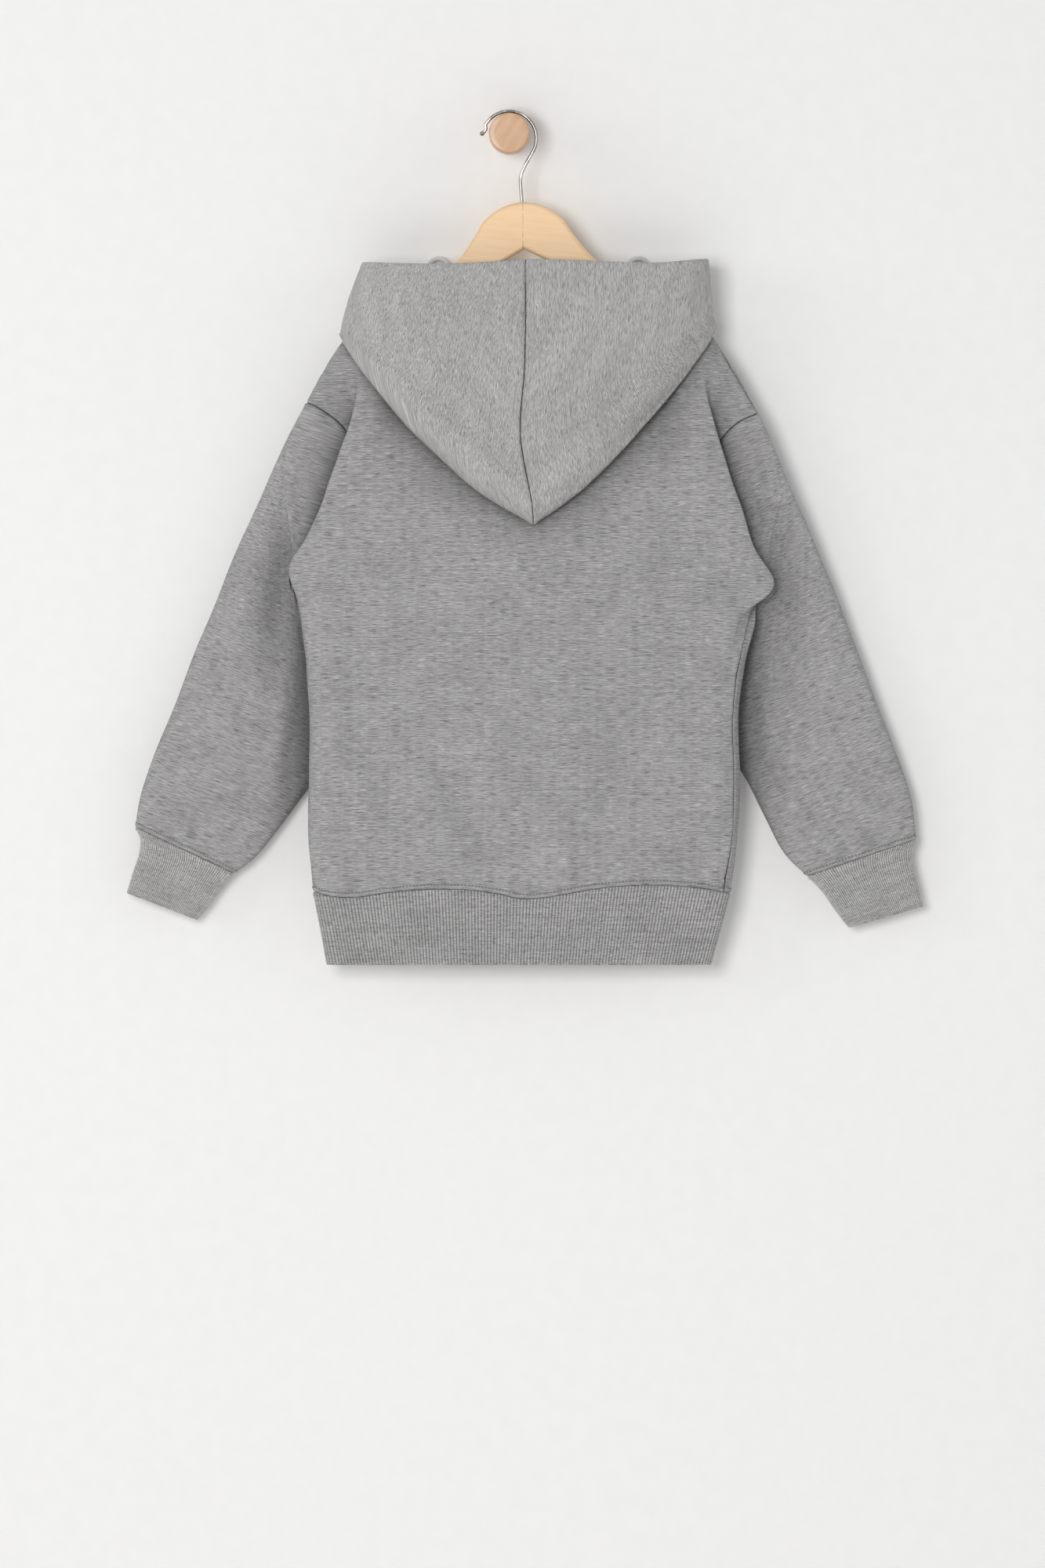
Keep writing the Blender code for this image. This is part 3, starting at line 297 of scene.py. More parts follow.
# A smooth patch between four edges: top and bottom run across, left and right down
def coons(top, bottom, left, right):
    v = (lengths(left) / lengths(left)[-1])[:, None, None]
    u = np.linspace(0, 1, len(top))[None, :, None]
    rows = mix(top[None], bottom[None], v) + mix(left[:, None], right[:, None], u)
    corners = mix(mix(top[0], top[-1], u), mix(bottom[0], bottom[-1], u), v)
    return rows - corners


# Heights from the underarm to the hem seam, closer together near the underarm
def sideRows(edge):
    share = np.linspace(0, 1, torsoCut["sideRows"] + 1)[1:]
    return mix(edge["z"][0], edge["z"][-1], share ** torsoCut["sideSpacing"])


# Seam, tuck, fold and brow points down one side of the back: rows x 4 x 3
def backStrip(fold, edge, side, seamIn, depths):
    armRows = torsoCut["armRows"]
    z = sideRows(edge)
    x = lookup(edge, "z", "x", z)
    settled = np.clip((np.arange(len(z)) + 1) / torsoCut["settleRows"], 0, 1)
    insets = (seamIn, mix(*torsoCut["tuckIn"], settled), 0)
    strip = []
    for name, inset, depth in zip(("seam", "tuck", "fold"), insets, depths):
        upper = column(fold, "row", f"{name}X {name}Y {name}Z", np.arange(armRows + 1))
        lower = np.stack([x - side * inset, mix(upper[-1, 1], depth, settled), z], axis=1)
        strip.append(np.concatenate([upper, lower]))
    count = len(strip[0])
    lift = torsoCut["browLift"] * np.clip(1 - np.arange(count) / torsoCut["browLiftRows"], 0, 1)
    across, outward = np.full(count, -side * torsoCut["brow"]), np.full(count, -torsoCut["browDepth"])
    brow = strip[-1] + np.stack([across, outward, lift], axis=1)
    brow[0] = shoulder(side)[0]
    into, out, down = torsoCut["browStart"]
    brow[1] = brow[0] + (-side * into, -torsoCut["ridgeHalf"] - out, -torsoCut["ridgeRound"] - down)
    low = brow[armRows + 1 :]
    low[:, 1] = skinDepth(low[:, 0], low[:, 2], -1)
    return np.stack([*strip, brow], axis=1)


# The panel's top edge between its brows: shoulder, neckline, shoulder
def bodyTop(neck):
    left, right = shoulder(-1), shoulder(1)
    points = np.stack([neck[name] for name in "xyz"], axis=1)
    steps = np.linspace(0, 2, torsoCut["shoulderColumns"] + 1)
    first = along(np.concatenate([left, points[:1]]), steps)[:-1]
    last = along(np.concatenate([right, points[-1:]]), steps)[-2::-1]
    return np.concatenate([first, points, last])


# A panel's rows with more put in round the shoulder, between its top edge and the row below
def shoulderArch(rows):
    arch = []
    for turn in np.radians(torsoCut["ridgeTurns"]):
        down = 1 - math.cos(turn)
        arch.append(mix(rows[0], rows[1], np.array([down, math.sin(turn), down])))
    return np.concatenate([rows[:1], arch, rows[1:]])


def hemLine(x, y):
    return np.stack([x, y, lookup(torsoCut["hemSeam"], "x", "z", x)], axis=1)


# One body panel: the two side strips and, between their brows, a patch under the top edge
def panel(top, left, right, side):
    under = top.copy()
    under[:, 2] -= np.where(top[:, 1] == hangerLine["y"], torsoCut["ridgeRound"], torsoCut["underNeck"])
    under[:, 1] = skinDepth(under[:, 0], under[:, 2], side)
    under[0], under[-1] = left[1, -1], right[1, -1]
    count = len(top)
    x = np.linspace(left[-1, -1, 0], right[-1, -1, 0], count)
    bottom = hemLine(x, np.full(count, hemCut["middle"]))
    patch = coons(under, bottom, left[1:, -1], right[1:, -1])
    patch[1:, :, 1] = skinDepth(patch[1:, :, 0], patch[1:, :, 2], side)
    place = np.arange(count)
    edge = np.clip(1 - np.minimum(place, place[::-1]) / torsoCut["browColumns"], 0, 1)
    brows = np.where(place < count / 2, left[2:, -1:, 1], right[2:, -1:, 1])
    patch[1:, :, 1] = mix(patch[1:, :, 1], brows, edge)
    rows = []
    for i, row in enumerate(np.concatenate([top[None], patch])):
        near = along(np.concatenate([left[i], row[1:3]]), torsoCut["stripColumns"])
        far = along(np.concatenate([right[i], row[-2:-4:-1]]), torsoCut["stripColumns"])
        rows.append(np.concatenate([near[:-1], row, far[-2::-1]]))
    rows[-1] = hemLine(rows[-1][:, 0], rows[-1][:, 1])
    return shoulderArch(np.array(rows))


# Seam and three lines inside it down one side of the front: rows x 4 x 3
def frontStrip(armhole, back, edge, side, lines):
    armRows = torsoCut["armRows"]
    rows = np.arange(armRows + 1)
    seam = np.concatenate([column(armhole, "row", "x y z", rows), back[armRows + 1 :, 0]])
    strip = np.repeat(seam[:, None], 4, axis=1)
    arm, low = strip[: armRows + 1], strip[armRows + 1 :]
    ridge = back[0]
    fan = np.clip(rows / torsoCut["fanRows"], 0, 1)[:, None]
    inside = arm[:, 0, :1] - side * np.array([torsoCut["frontInsets"]])
    arm[:, 1:, 0] = mix(ridge[None, 1:, 0], inside, fan)
    fall = (arm[:, :1, 2] - seam[0, 2]) * torsoCut["fanFall"]
    arm[:, 1:, 2] = mix(ridge[None, 1:, 2] + fall, arm[:, :1, 2], fan ** torsoCut["fanBend"])
    arm[1, 1:, 2] = ridge[1:, 2] - torsoCut["frontStart"]
    drop = ridge[None, 1:, 2] - arm[:, 1:, 2]
    plain = skinDepth(arm[:, 1:, 0], arm[:, 1:, 2], 1)
    arm[:, 1:, 1] = mix(ridge[None, 1:, 1], plain, rounded(drop))
    arm[0] = ridge
    low[:, 1:, 0] = lookup(edge, "z", "x", low[:, 0, 2])[:, None] - side * lines["inset"]
    low[:, 1:, 1] = lines["y"]
    arm[-1, 1:, 1] = mix(arm[-2, 1:, 1], low[0, 1:, 1], 0.5)
    return strip


def torso():
    backs, fronts = [], []
    for name, side in (("left", -1), ("right", 1)):
        edge = torsoCut[name + "Side"]
        back = backStrip(torsoCut[name + "Fold"], edge, side, *torsoCut[name + "Low"])
        if name == "right":
            low = back[torsoCut["armRows"] + 1 :]
            for j, share in enumerate(torsoCut["rightSpread"], 1):
                low[:, j] = mix(low[:, 0], low[:, 3], share)
        backs.append(back)
        fronts.append(frontStrip(torsoCut[name + "Armhole"], back, edge, side, torsoCut[name + "Front"]))
    backPanel = panel(bodyTop(torsoCut["backNeck"]), *backs, -1)
    return backPanel, panel(bodyTop(torsoCut["frontNeck"]), *fronts, 1)


# Sleeves, cuffs and hem


# each row is one section: its outer and inner edge, and half the depth between its layers
sleeveNames = "ring outX outY outZ inX inY inZ half"
sleeveCut = {
    "rings": 11,
    "spacing": 1.15,
    "armholeRings": 5,  # rings in which the armhole's own spacing gives way to an even one
    "flatness": 0.3,  # the smaller, the flatter a section's two layers
    "left": table(
        sleeveNames,
        (1, -193, -38, -262, -193.5, -38, -397, 5.5),
        (2, -204, -36, -285, -189.5, -30.5, -415, 7.5),
        (3, -227, -31, -336, -180, -21, -455, 9),
        (4, -249, -28, -385, -170, -16.5, -505, 10),
        (5, -267, -26, -430, -166, -15.5, -541, 10.5),
        (6, -284, -25, -471, -171, -16, -571, 11),
        (7, -301, -24, -515, -190, -18, -599, 11.5),
        (8, -320, -23, -561, -212, -20, -628, 12),
        (9, -331, -22, -598, -231, -21, -650, 11.5),
        (10, -334.5, -22, -620, -247, -21, -661, 10),
    ),
    "right": table(
        sleeveNames,
        (1, 237, -40, -280, 221.5, -38, -409, 5.5),
        (2, 249, -37, -312, 215.5, -30, -431, 7.5),
        (3, 268, -32, -353, 208, -21.5, -464, 9.5),
        (4, 285, -29, -393, 197, -17, -501, 10.5),
        (5, 300, -26, -433, 193, -15.5, -532, 10.5),
        (6, 315, -25, -472, 199, -16, -556, 11),
        (7, 331, -24, -515, 213.5, -18, -580, 11.5),
        (8, 346.5, -23, -556, 229.5, -20, -613, 12),
        (9, 360, -22, -596, 247, -21, -645, 11.5),
        (10, 363.5, -22, -631, 266.5, -21, -664, 10),
    ),
}
cuffCut = {
    "left": table(
        sleeveNames,
        (10.6, -329.8, -22, -629, -252.5, -21, -667.5, 8),
        (11.3, -330, -22, -640, -259.5, -21, -676, 7.5),
        (12.6, -336, -21.5, -660, -269, -20.5, -690, 7),
        (14, -342, -21, -679, -279.5, -20, -703, 6.5),
    ),
    "right": table(
        sleeveNames,
        (10.6, 359.5, -22, -641, 272.5, -21, -669, 8),
        (11.3, 360, -22, -651, 279.5, -21, -677, 7.5),
        (12.6, 365, -21.5, -671, 291, -20.5, -693, 7),
        (14, 370, -21, -691, 304.5, -20, -710, 6.5),
    ),
}
hemCut = {
    "bottom": (-162.5, 180.0, -743.0),  # left, right and height
    "middle": -45.0,
    "slim": 0.68,  # how much of its depth it keeps at its folded edge
    "steps": ((0, 0), (0.1, 0.286), (0.55, 0.845), (1, 1)),  # down the band, and in
}


# A flattened ring from a sleeve's outer edge to its inner edge and back
def section(rows, i, shares):
    outer, inner = (np.array([rows[edge + axis][i] for axis in "XYZ"]) for edge in ("out", "in"))
    ring = mix(outer, inner, shares[:, None])
    layer = np.where(np.arange(len(shares)) <= len(shares) // 2, 1, -1)
    ring[:, 1] -= layer * rows["half"][i] * (4 * shares * (1 - shares)) ** sleeveCut["flatness"]
    return ring


# Shares of the way across that bunch up towards a ring's two edges
def roundedShares(count):
    return (1 - np.cos(np.linspace(0, 2 * math.pi, count, endpoint=False))) / 2


# Rings from the armhole's own points down to the cuff seam
def sleeve(rows, backSeam, frontSeam):
    rings = [np.concatenate([backSeam, frontSeam[-2:0:-1]])]
    behind, before = (lengths(seam) / lengths(seam)[-1] for seam in (backSeam, frontSeam))
    own = np.concatenate([behind, before[-2:0:-1]])
    for i, ring in enumerate(rows["ring"]):
        even = min(1, ring / sleeveCut["armholeRings"])
        rings.append(section(rows, i, mix(own, roundedShares(len(own)), even)))
    keys = np.concatenate([[0], rows["ring"]])
    share = np.linspace(0, 1, sleeveCut["rings"] + 1)
    return smooth(keys, np.array(rings), keys[-1] * share ** sleeveCut["spacing"])


def cuff(rows, seamRing):
    shares = roundedShares(len(seamRing))
    return np.array([seamRing] + [section(rows, i, shares) for i in range(len(rows["ring"]))])


# Rings from the body's own bottom edge down to the band's folded edge
def hemBand(backRow, frontRow):
    ring = np.concatenate([backRow, frontRow[-2:0:-1]])
    left, right, low = hemCut["bottom"]
    squeeze = (ring[:, 0] - ring[:, 0].min()) / np.ptp(ring[:, 0])
    slim = mix(hemCut["middle"], ring[:, 1], hemCut["slim"])
    bottom = np.stack([mix(left, right, squeeze), slim, np.full(len(ring), low)], axis=1)
    rings = [mix(ring, bottom, np.array([fall, pull, fall])) for fall, pull in hemCut["steps"]]
    return np.array(rings)


# Hood


hoodCut = {
    "layGap": 1.2,  # the inner layer lies this far off the body
    "layRound": 1.8,  # and is this much rounder over the shoulder
    "layRows": (4, 9),  # the rows that lie on the body
    "layPasses": 8,
    "layReach": 9.0,  # points further than this from the body are left alone
    "layChecks": (0, 0.33, 0.67, 1),  # places across a cell that are checked
    "layShares": (0.14, 0.4, 0.7, 1),  # its points on the way down
    "layStart": 5.0,  # how far under the neck seam it starts
    "facing": (5.6, 7, 8.4),  # stations at which the hood faces back, up and front
    "shoulderOut": (0.64, 0.77),  # which way out is at the shoulder: to the side, and up
    "shoulderRise": (0.5, 0.86),  # which way the roll stands there: to the middle, and up
    "neckAim": (12, -60),  # and elsewhere: towards this x and height
    "roll": ((5, 0.2), (8, 2.2), (4.5, 4.6)),  # up and out from the neck seam
    "rollTop": -117.5,  # the roll stays below the hood's top edge
    "heel": 0.9,  # where the inner layer leaves the body for the fold, in half thicknesses
    "rising": (0.3, 0.6, 0.85),  # points on the way up the outer layer
    "wanderStations": 3,  # stations in which the seam's wander fades out
    # from the middle of the back over the shoulder (7) to the middle of the front
    "stations": (0, 1.4, 2.8, 4.2, 5.6, 6.3, 7, 7.7, 8.4, 9.3, 10.1, 11.5, 13),
    "rows": (0, 1, 2, 3, 4, 5, 6, 7, 7.5, 8, 8.5, 9, 10, 11, 12, 13),
    "leftFold": table(
        "station x y z",
        (0, 21.5, -76, -350), (1, -2, -76, -338.5), (2.2, -42, -76, -308), (3.5, -83, -76, -271),
        (4.9, -124, -72, -223), (6, -143.6, -58, -196), (7, -150.5, -42, -181), (8, -141, -26, -194),
        (9, -112, -20, -214), (10.3, -72, -19.5, -233), (11.6, -34, -19.5, -246), (13, 12, -19.5, -250),
    ),
    "rightFold": table(
        "station x y z",
        (0, 21.5, -76, -350), (1, 46, -76, -335), (2.2, 78, -76, -306), (3.5, 112, -76, -274),
        (4.9, 150, -72, -226), (6, 177.5, -58, -190), (7, 182, -42, -174), (8, 167, -25, -184),
        (9, 145, -20, -212), (10.3, 104, -19.5, -232), (11.6, 62, -19.5, -246), (13, 12, -19.5, -250),
    ),
    "leftEdge": table(
        "station x y z",
        (0, 14.6, -85, -113), (2, -35, -86, -116.5), (4, -90, -84, -116.8), (5.3, -120, -78, -115.8),
        (6.2, -130, -65, -115.3), (7, -131, -46, -115.5), (8, -125, -25, -116), (9, -104, -13, -117),
        (10, -53, -9.5, -117.5), (11, -33, -9.5, -142), (12, -12, -10.5, -188), (13, 12, -14, -224),
    ),
    "rightEdge": table(
        "station x y z",
        (0, 14.6, -85, -113), (2, 62, -86, -114), (4, 128, -84, -116.3), (5.3, 164, -78, -113.5),
        (6.2, 176.5, -65, -112.5), (7, 177.5, -46, -113), (8, 170, -25, -114.5), (9, 148, -13, -116.5),
        (10, 103, -9.5, -117.5), (11, 70, -9.5, -142), (12, 38, -10.5, -188), (13, 12, -14, -224),
    ),
    # half the bag's thickness at its fold, and its bulge
    "bag": table(
        "station half bulge",
        (0, 12, 5), (4, 12, 5), (5.6, 8, 3), (6.3, 5, 2), (7, 4, 2), (7.7, 5, 1), (8.4, 6, 1), (9.5, 7, 1),
        (13, 7, 0),
    ),
    # the middle seam off its straight line
    "seamWander": table(
        "along x",
        (0, 0), (0.06, -1), (0.13, -5.6), (0.2, -8.4), (0.29, -9), (0.42, -6.4), (0.63, -2.8), (1, 0),
    ),
}


# The neck seam from the middle of the back round one side to the middle of the front
def neckLoop(back, front, side):
    middle = back.shape[1] // 2
    behind = back[0, middle::side][: torsoCut["neckColumns"] + 1]
    before = front[0, middle::side][: torsoCut["neckColumns"] + 1][::-1]
    return np.concatenate([behind, before[1:]])


# One surface, facing out, from grids whose columns run so that they face out
def surface(skins):
    points, faces = [], []
    for grid in skins:
        faces += (quads(*grid.shape[:2], False) + len(points)).tolist()
        points += grid.reshape(-1, 3).tolist()
    return BVHTree.FromPolygons(points, faces)


# Moves the inner layer off the body until its rows and the cloth between them keep their gap
def settle(grid, body):
    first, last = hoodCut["layRows"]
    checks = [(u, v) for u in hoodCut["layChecks"] for v in hoodCut["layChecks"]]
    cells = [(i, j) for i in range(first, last) for j in range(grid.shape[1] - 1)]
    for _ in range(hoodCut["layPasses"]):
        push = np.zeros_like(grid)
        for i, j in cells:
            for u, v in checks:
                shares = np.array([[(1 - u) * (1 - v), (1 - u) * v], [u * (1 - v), u * v]])
                point = (grid[i : i + 2, j : j + 2] * shares[:, :, None]).sum(axis=(0, 1))
                place, normal, _, far = body.find_nearest(point)
                lack = hoodCut["layGap"] - float(np.dot(point - np.array(place), normal))
                if lack <= 0 or far > hoodCut["layReach"]:
                    continue
                for a, b in np.argwhere(shares > 0):
                    if np.linalg.norm(push[i + a, j + b]) < lack:
                        push[i + a, j + b] = lack * np.array(normal)
        grid[first : last + 1] += push[first : last + 1]
    return grid


# A point of the hood's inner layer on the body: round the shoulder, or flat below it
def layOn(body, face, turn, x, drop):
    ridgeY, ridgeZ = ridgeAt(body[0], x)
    if 0 < turn < math.pi:
        out, up = (torsoCut[key] + hoodCut["layRound"] for key in ("ridgeHalf", "ridgeRound"))
        rise = up * math.sin(turn) - torsoCut["ridgeRound"]
        return np.array([x, ridgeY - out * math.cos(turn), ridgeZ + rise])
    z = ridgeZ - drop
    return np.array([x, float(skinDepth(x, z, face)) + face * hoodCut["layGap"], z])


# One hood panel: up from the neck seam, over, down along the body, round the fold and up
def hoodSide(back, front, side):
    name = "left" if side < 0 else "right"
    stations = hoodCut["stations"]
    neck = neckLoop(back, front, side)
    fold, edge = (column(hoodCut[name + part], "station", "x y z", stations) for part in ("Fold", "Edge"))
    half, bulge = column(hoodCut["bag"], "station", "half bulge", stations).T
    (sideways, upward), (inside, above) = hoodCut["shoulderOut"], hoodCut["shoulderRise"]
    aimX, aimZ = hoodCut["neckAim"]
    panels = []
    for k, station in enumerate(stations):
        turn = math.radians(np.interp(station, hoodCut["facing"], (0, 90, 180)))
        out = math.cos(turn) * np.array([0, -1, 0]) + math.sin(turn) * np.array([sideways * side, 0, upward])
        body, face = (back, -1) if station <= hoodCut["facing"][1] else (front, 1)
        inward = unit(np.array([aimX, neck[k, 1], aimZ]) - neck[k])
        rise = unit(mix(inward, np.array([-inside * side, 0, above]), math.sin(turn)))
        lines = [neck[k]]
        for up, over in hoodCut["roll"]:
            point = neck[k] + up * rise + over * out
            point[2] = min(point[2], hoodCut["rollTop"])
            lines.append(point)
        down = unit(fold[k] - mix(neck[k], edge[k], 0.5))
        down = unit(down - out * np.dot(down, out))
        heel = fold[k] - half[k] * hoodCut["heel"] * down
        lastDrop = ridgeAt(body[0], heel[0])[1] - heel[2]
        seamDrop = ridgeAt(body[0], neck[k, 0])[1] - neck[k, 2]
        firstDrop = max(torsoCut["ridgeRound"], seamDrop + hoodCut["layStart"])
        for share in hoodCut["layShares"]:
            x = mix(neck[k, 0], heel[0], share)
            lines.append(layOn(body, face, turn, x, mix(firstDrop, lastDrop, share**2)))
        over = heel + out * half[k]
        lines += [fold[k], over]
        wander = max(0, 1 - station / hoodCut["wanderStations"])
        for share in hoodCut["rising"]:
            point = mix(over, edge[k], share) + out * bulge[k] * 4 * share * (1 - share)
            point[0] += lookup(hoodCut["seamWander"], "along", "x", share) * wander
            lines.append(point)
        panels.append(along([*lines, edge[k]], hoodCut["rows"]))
    return np.array(panels).transpose(1, 0, 2)


# Both hood panels, joined down the middle while the inner layer is laid on the body
def hood(back, front, body):
    left = hoodSide(back, front, -1)[:, ::-1]
    whole = np.concatenate([left, hoodSide(back, front, 1)[:, 1:]], axis=1)
    whole = settle(whole, body)
    whole[:, 0] = whole[:, -1] = mix(whole[:, 0], whole[:, -1], 0.5)
    middle = left.shape[1]
    return whole[:, :middle], whole[:, middle - 1 :]


# From control grids to finished cloth


# Corner numbers of a grid's faces
def quads(rows, columns, closed):
    across = columns if closed else columns - 1
    corners = []
    for i in range(rows - 1):
        for j in range(across):
            here, below, after = i * columns, (i + 1) * columns, (j + 1) % columns
            corners.append((here + j, here + after, below + after, below + j))
    return np.array(corners)


def faceNormals(points, faces):
    a, b, c, d = (points[faces[:, k]] for k in range(4))
    return unit(np.cross(c - a, d - b))


# Each point's outward direction, the same on both sides of a seam
def sharedNormals(skins):
    sums = {}
    for grid, closed in skins.values():
        points = grid.reshape(-1, 3)
        faces = quads(*grid.shape[:2], closed)
        for face, normal in zip(faces, faceNormals(points, faces)):
            for corner in face:
                sums.setdefault(tuple(np.round(points[corner], 3)), []).append(normal)
    found = {}
    for name, (grid, _) in skins.items():
        places = np.round(grid.reshape(-1, 3), 3)
        sides = np.array([np.sum(sums[tuple(place)], axis=0) for place in places])
        found[name] = unit(sides).reshape(grid.shape)
    return found


# The same cloth read between its control points; the first three values of each are its place
def readLines(lines, at):
    read = []
    for line in lines:
        far = lengths(line[:, :3])
        read.append(smooth(far, line, np.interp(at, np.arange(len(line)), far)))
    return np.array(read)


# Places a step apart along cells of these widths, and closer ones beside a sewn end
def spread(widths, sewnStart, sewnEnd):
    places = []
    for i, width in enumerate(widths):
        count = max(1, math.ceil(width / cloth["step"]))
        places += [i + k / count for k in range(count)]
    places = np.array(places + [len(widths)])
    near = np.array(cloth["seamRows"])
    ends = ((sewnStart, 0, 1, widths[0]), (sewnEnd, len(widths), -1, widths[-1]))
    for sewn, end, inward, width in ends:
        if sewn:
            plain = places[np.abs(places - end) * width > near[-1] + cloth["seamSpace"]]
            places = np.sort(np.concatenate([plain, end + inward * np.concatenate([[0], near]) / width]))
    return places


# A ring's grid with its first column again at its end
def wrapped(grid):
    return np.concatenate([grid, grid[:, :1]], axis=1)


# Places round a ring for a rib knit, the same number to each rib
def ribPlaces(grid, ribs):
    ring = wrapped(grid).mean(axis=0)
    far = lengths(ring)
    return np.interp(np.linspace(0, far[-1], ribs * ribKnit["columns"] + 1), far, np.arange(len(ring)))


# A control grid and its directions, read close enough together for finished cloth
def finer(grid, directions, closed, ribs, folded):
    stack = np.concatenate([grid, directions], axis=2)
    wide = np.linalg.norm(np.diff(wrapped(grid) if closed else grid, axis=1), axis=2)
    tall = np.linalg.norm(np.diff(grid, axis=0), axis=2)
    rows = spread(np.percentile(tall, cloth["usual"], axis=1), True, not folded)
    if ribs:
        columns = ribPlaces(grid, ribs)
    else:
        columns = spread(np.percentile(wide, cloth["usual"], axis=0), not closed, not closed)
    if closed:
        overlap = 3  # columns read again past both ends, so that the ring closes smoothly
        stack = np.concatenate([stack[:, -overlap:], stack, stack[:, : overlap + 1]], axis=1)
        columns = columns[:-1] + overlap
    fine = readLines(readLines(stack, columns).transpose(1, 0, 2), rows).transpose(1, 0, 2)
    return fine[:, :, :3], unit(fine[:, :, 3:])


# How far each point is down its column from the grid's first row
def reach(grid):
    return running(np.linalg.norm(np.diff(grid, axis=0), axis=2))


# In-cloth direction square to an edge, towards its inside
def squareTo(line, inside, directions, closed):
    tangent = np.roll(line, -1, 0) - np.roll(line, 1, 0) if closed else np.gradient(line, axis=0)
    square = unit(np.cross(unit(tangent), directions))
    return square * np.sign(np.sum(square * (inside - line), axis=1, keepdims=True))


# A grid seen from its first row, its last row, its first column and its last column
edgeViews = (
    lambda grid: grid,
    lambda grid: grid[::-1],
    lambda grid: grid.transpose(1, 0, 2),
    lambda grid: grid.transpose(1, 0, 2)[::-1],
)


# A soft hump across a seam: how far off it is highest, and its width
def hump(far, at, width):
    return np.exp(-(((far - at) / width) ** 2))


# Cloth drawn back from its edges by their roll and half the seam's gap, sunk and puckered beside seams
def sewEdges(grid, directions, closed, folded):
    moved = grid.copy()
    short, drift, swell = cloth["ripples"]
    for k, view in enumerate(edgeViews[:2] if closed else edgeViews):
        cells, outward = view(grid), view(directions)
        sewn = k != 1 or not folded
        far = reach(cells)[:, :, None]
        back = cloth["seamRound"] + cloth["seamGap"] / 2 if sewn else cloth["edgeRound"]
        square = squareTo(cells[0], cells[1], outward[0], closed)
        shift = square[None] * back * np.clip(1 - far / cloth["drawnIn"], 0, 1)
        if sewn:
            run = lengths(cells[0])[None, :, None]
            wave = np.sin(run / short + cloth["rippleDrift"] * np.sin(run / drift + k))
            lift = cloth["pucker"] * (wave * np.sin(run / swell + 2 * k)) * hump(far, 0, cloth["puckerReach"])
            pad = cloth["seamPad"] * hump(far, cloth["padAt"], cloth["padWidth"])
            sink = cloth["seamSink"] * hump(far, 0, cloth["sinkWidth"])
            shift = shift + outward * (lift + pad - sink)
        edge = view(moved)
        edge += shift
    return moved


creaseShape = {
    "height": 1.8,  # every crease's height or depth is this much more than its row says
    "points": 25,
    "taper": 0.7,  # the smaller, the blunter its two ends
    "facing": 1.5,  # the larger, the more it keeps to its own side at a piece's edges
}


# Soft troughs (below zero) and ridges along bent lines, on the layer that faces the way asked for
def crease(grid, directions, rows):
    lift = np.zeros(grid.shape[:2])
    flat = grid[:, :, [0, 2]]
    t = np.linspace(0, 1, creaseShape["points"])[:, None]
    fade = np.sin(math.pi * np.clip(t[:, 0], 0.001, 0.999)) ** creaseShape["taper"]
    for i, face in enumerate(rows["face"]):
        start, bend, end = (np.array([rows["x" + k][i], rows["z" + k][i]]) for k in "012")
        line = (1 - t) ** 2 * start + 2 * t * (1 - t) * bend + t**2 * end
        gap = np.linalg.norm(flat[:, :, None] - line, axis=3)
        facing = np.clip(0.5 + creaseShape["facing"] * face * directions[:, :, 1], 0, 1)
        height = rows["deep"][i] * creaseShape["height"]
        lift += height * hump(gap.min(axis=2), 0, rows["wide"][i]) * fade[gap.argmin(axis=2)] * facing
    return lift


uneven = {
    "seed": 3,  # of the first piece
    "waves": 9,
    "lengths": (26, 95),
    "phase": 6.3,  # a wave may start anywhere in one round
    "depthShare": 0.6,
    "height": 0.5,
    "ribHeight": 0.25,
}


# A slow unevenness over the whole piece
def unevenness(grid, seed, height):
    draw = np.random.default_rng(seed)
    lift = np.zeros(grid.shape[:2])
    shortest, longest = uneven["lengths"]
    for _ in range(uneven["waves"]):
        length = draw.uniform(shortest, longest)
        turn = draw.uniform(0, math.pi)
        wave = np.array([math.cos(turn), uneven["depthShare"], math.sin(turn)]) * 2 * math.pi / length
        lift += np.sin(grid @ wave + draw.uniform(0, uneven["phase"])) * length / longest
    return lift * height / math.sqrt(uneven["waves"])


# Cloth coordinates in metres: along the fibres and across them. An upright piece's fibres run down it
def unroll(grid, tilt, closed, upright):
    whole = wrapped(grid) if closed else grid
    step = np.diff(whole, axis=1)
    if upright:
        fall = np.linalg.norm(np.diff(whole, axis=0)[:, :, 1:], axis=2)
        return np.stack([running(fall), running(np.linalg.norm(step[:, :, :2], axis=2), 1)], axis=2) * mm
    down = np.array([math.sin(tilt), 0, -math.cos(tilt)])
    u = running(np.sqrt(np.maximum((step**2).sum(axis=2) - (step @ down) ** 2, 0)), 1)
    middle = u[:, u.shape[1] // 2][:, None]
    return np.stack([u - middle, whole @ down], axis=2) * mm


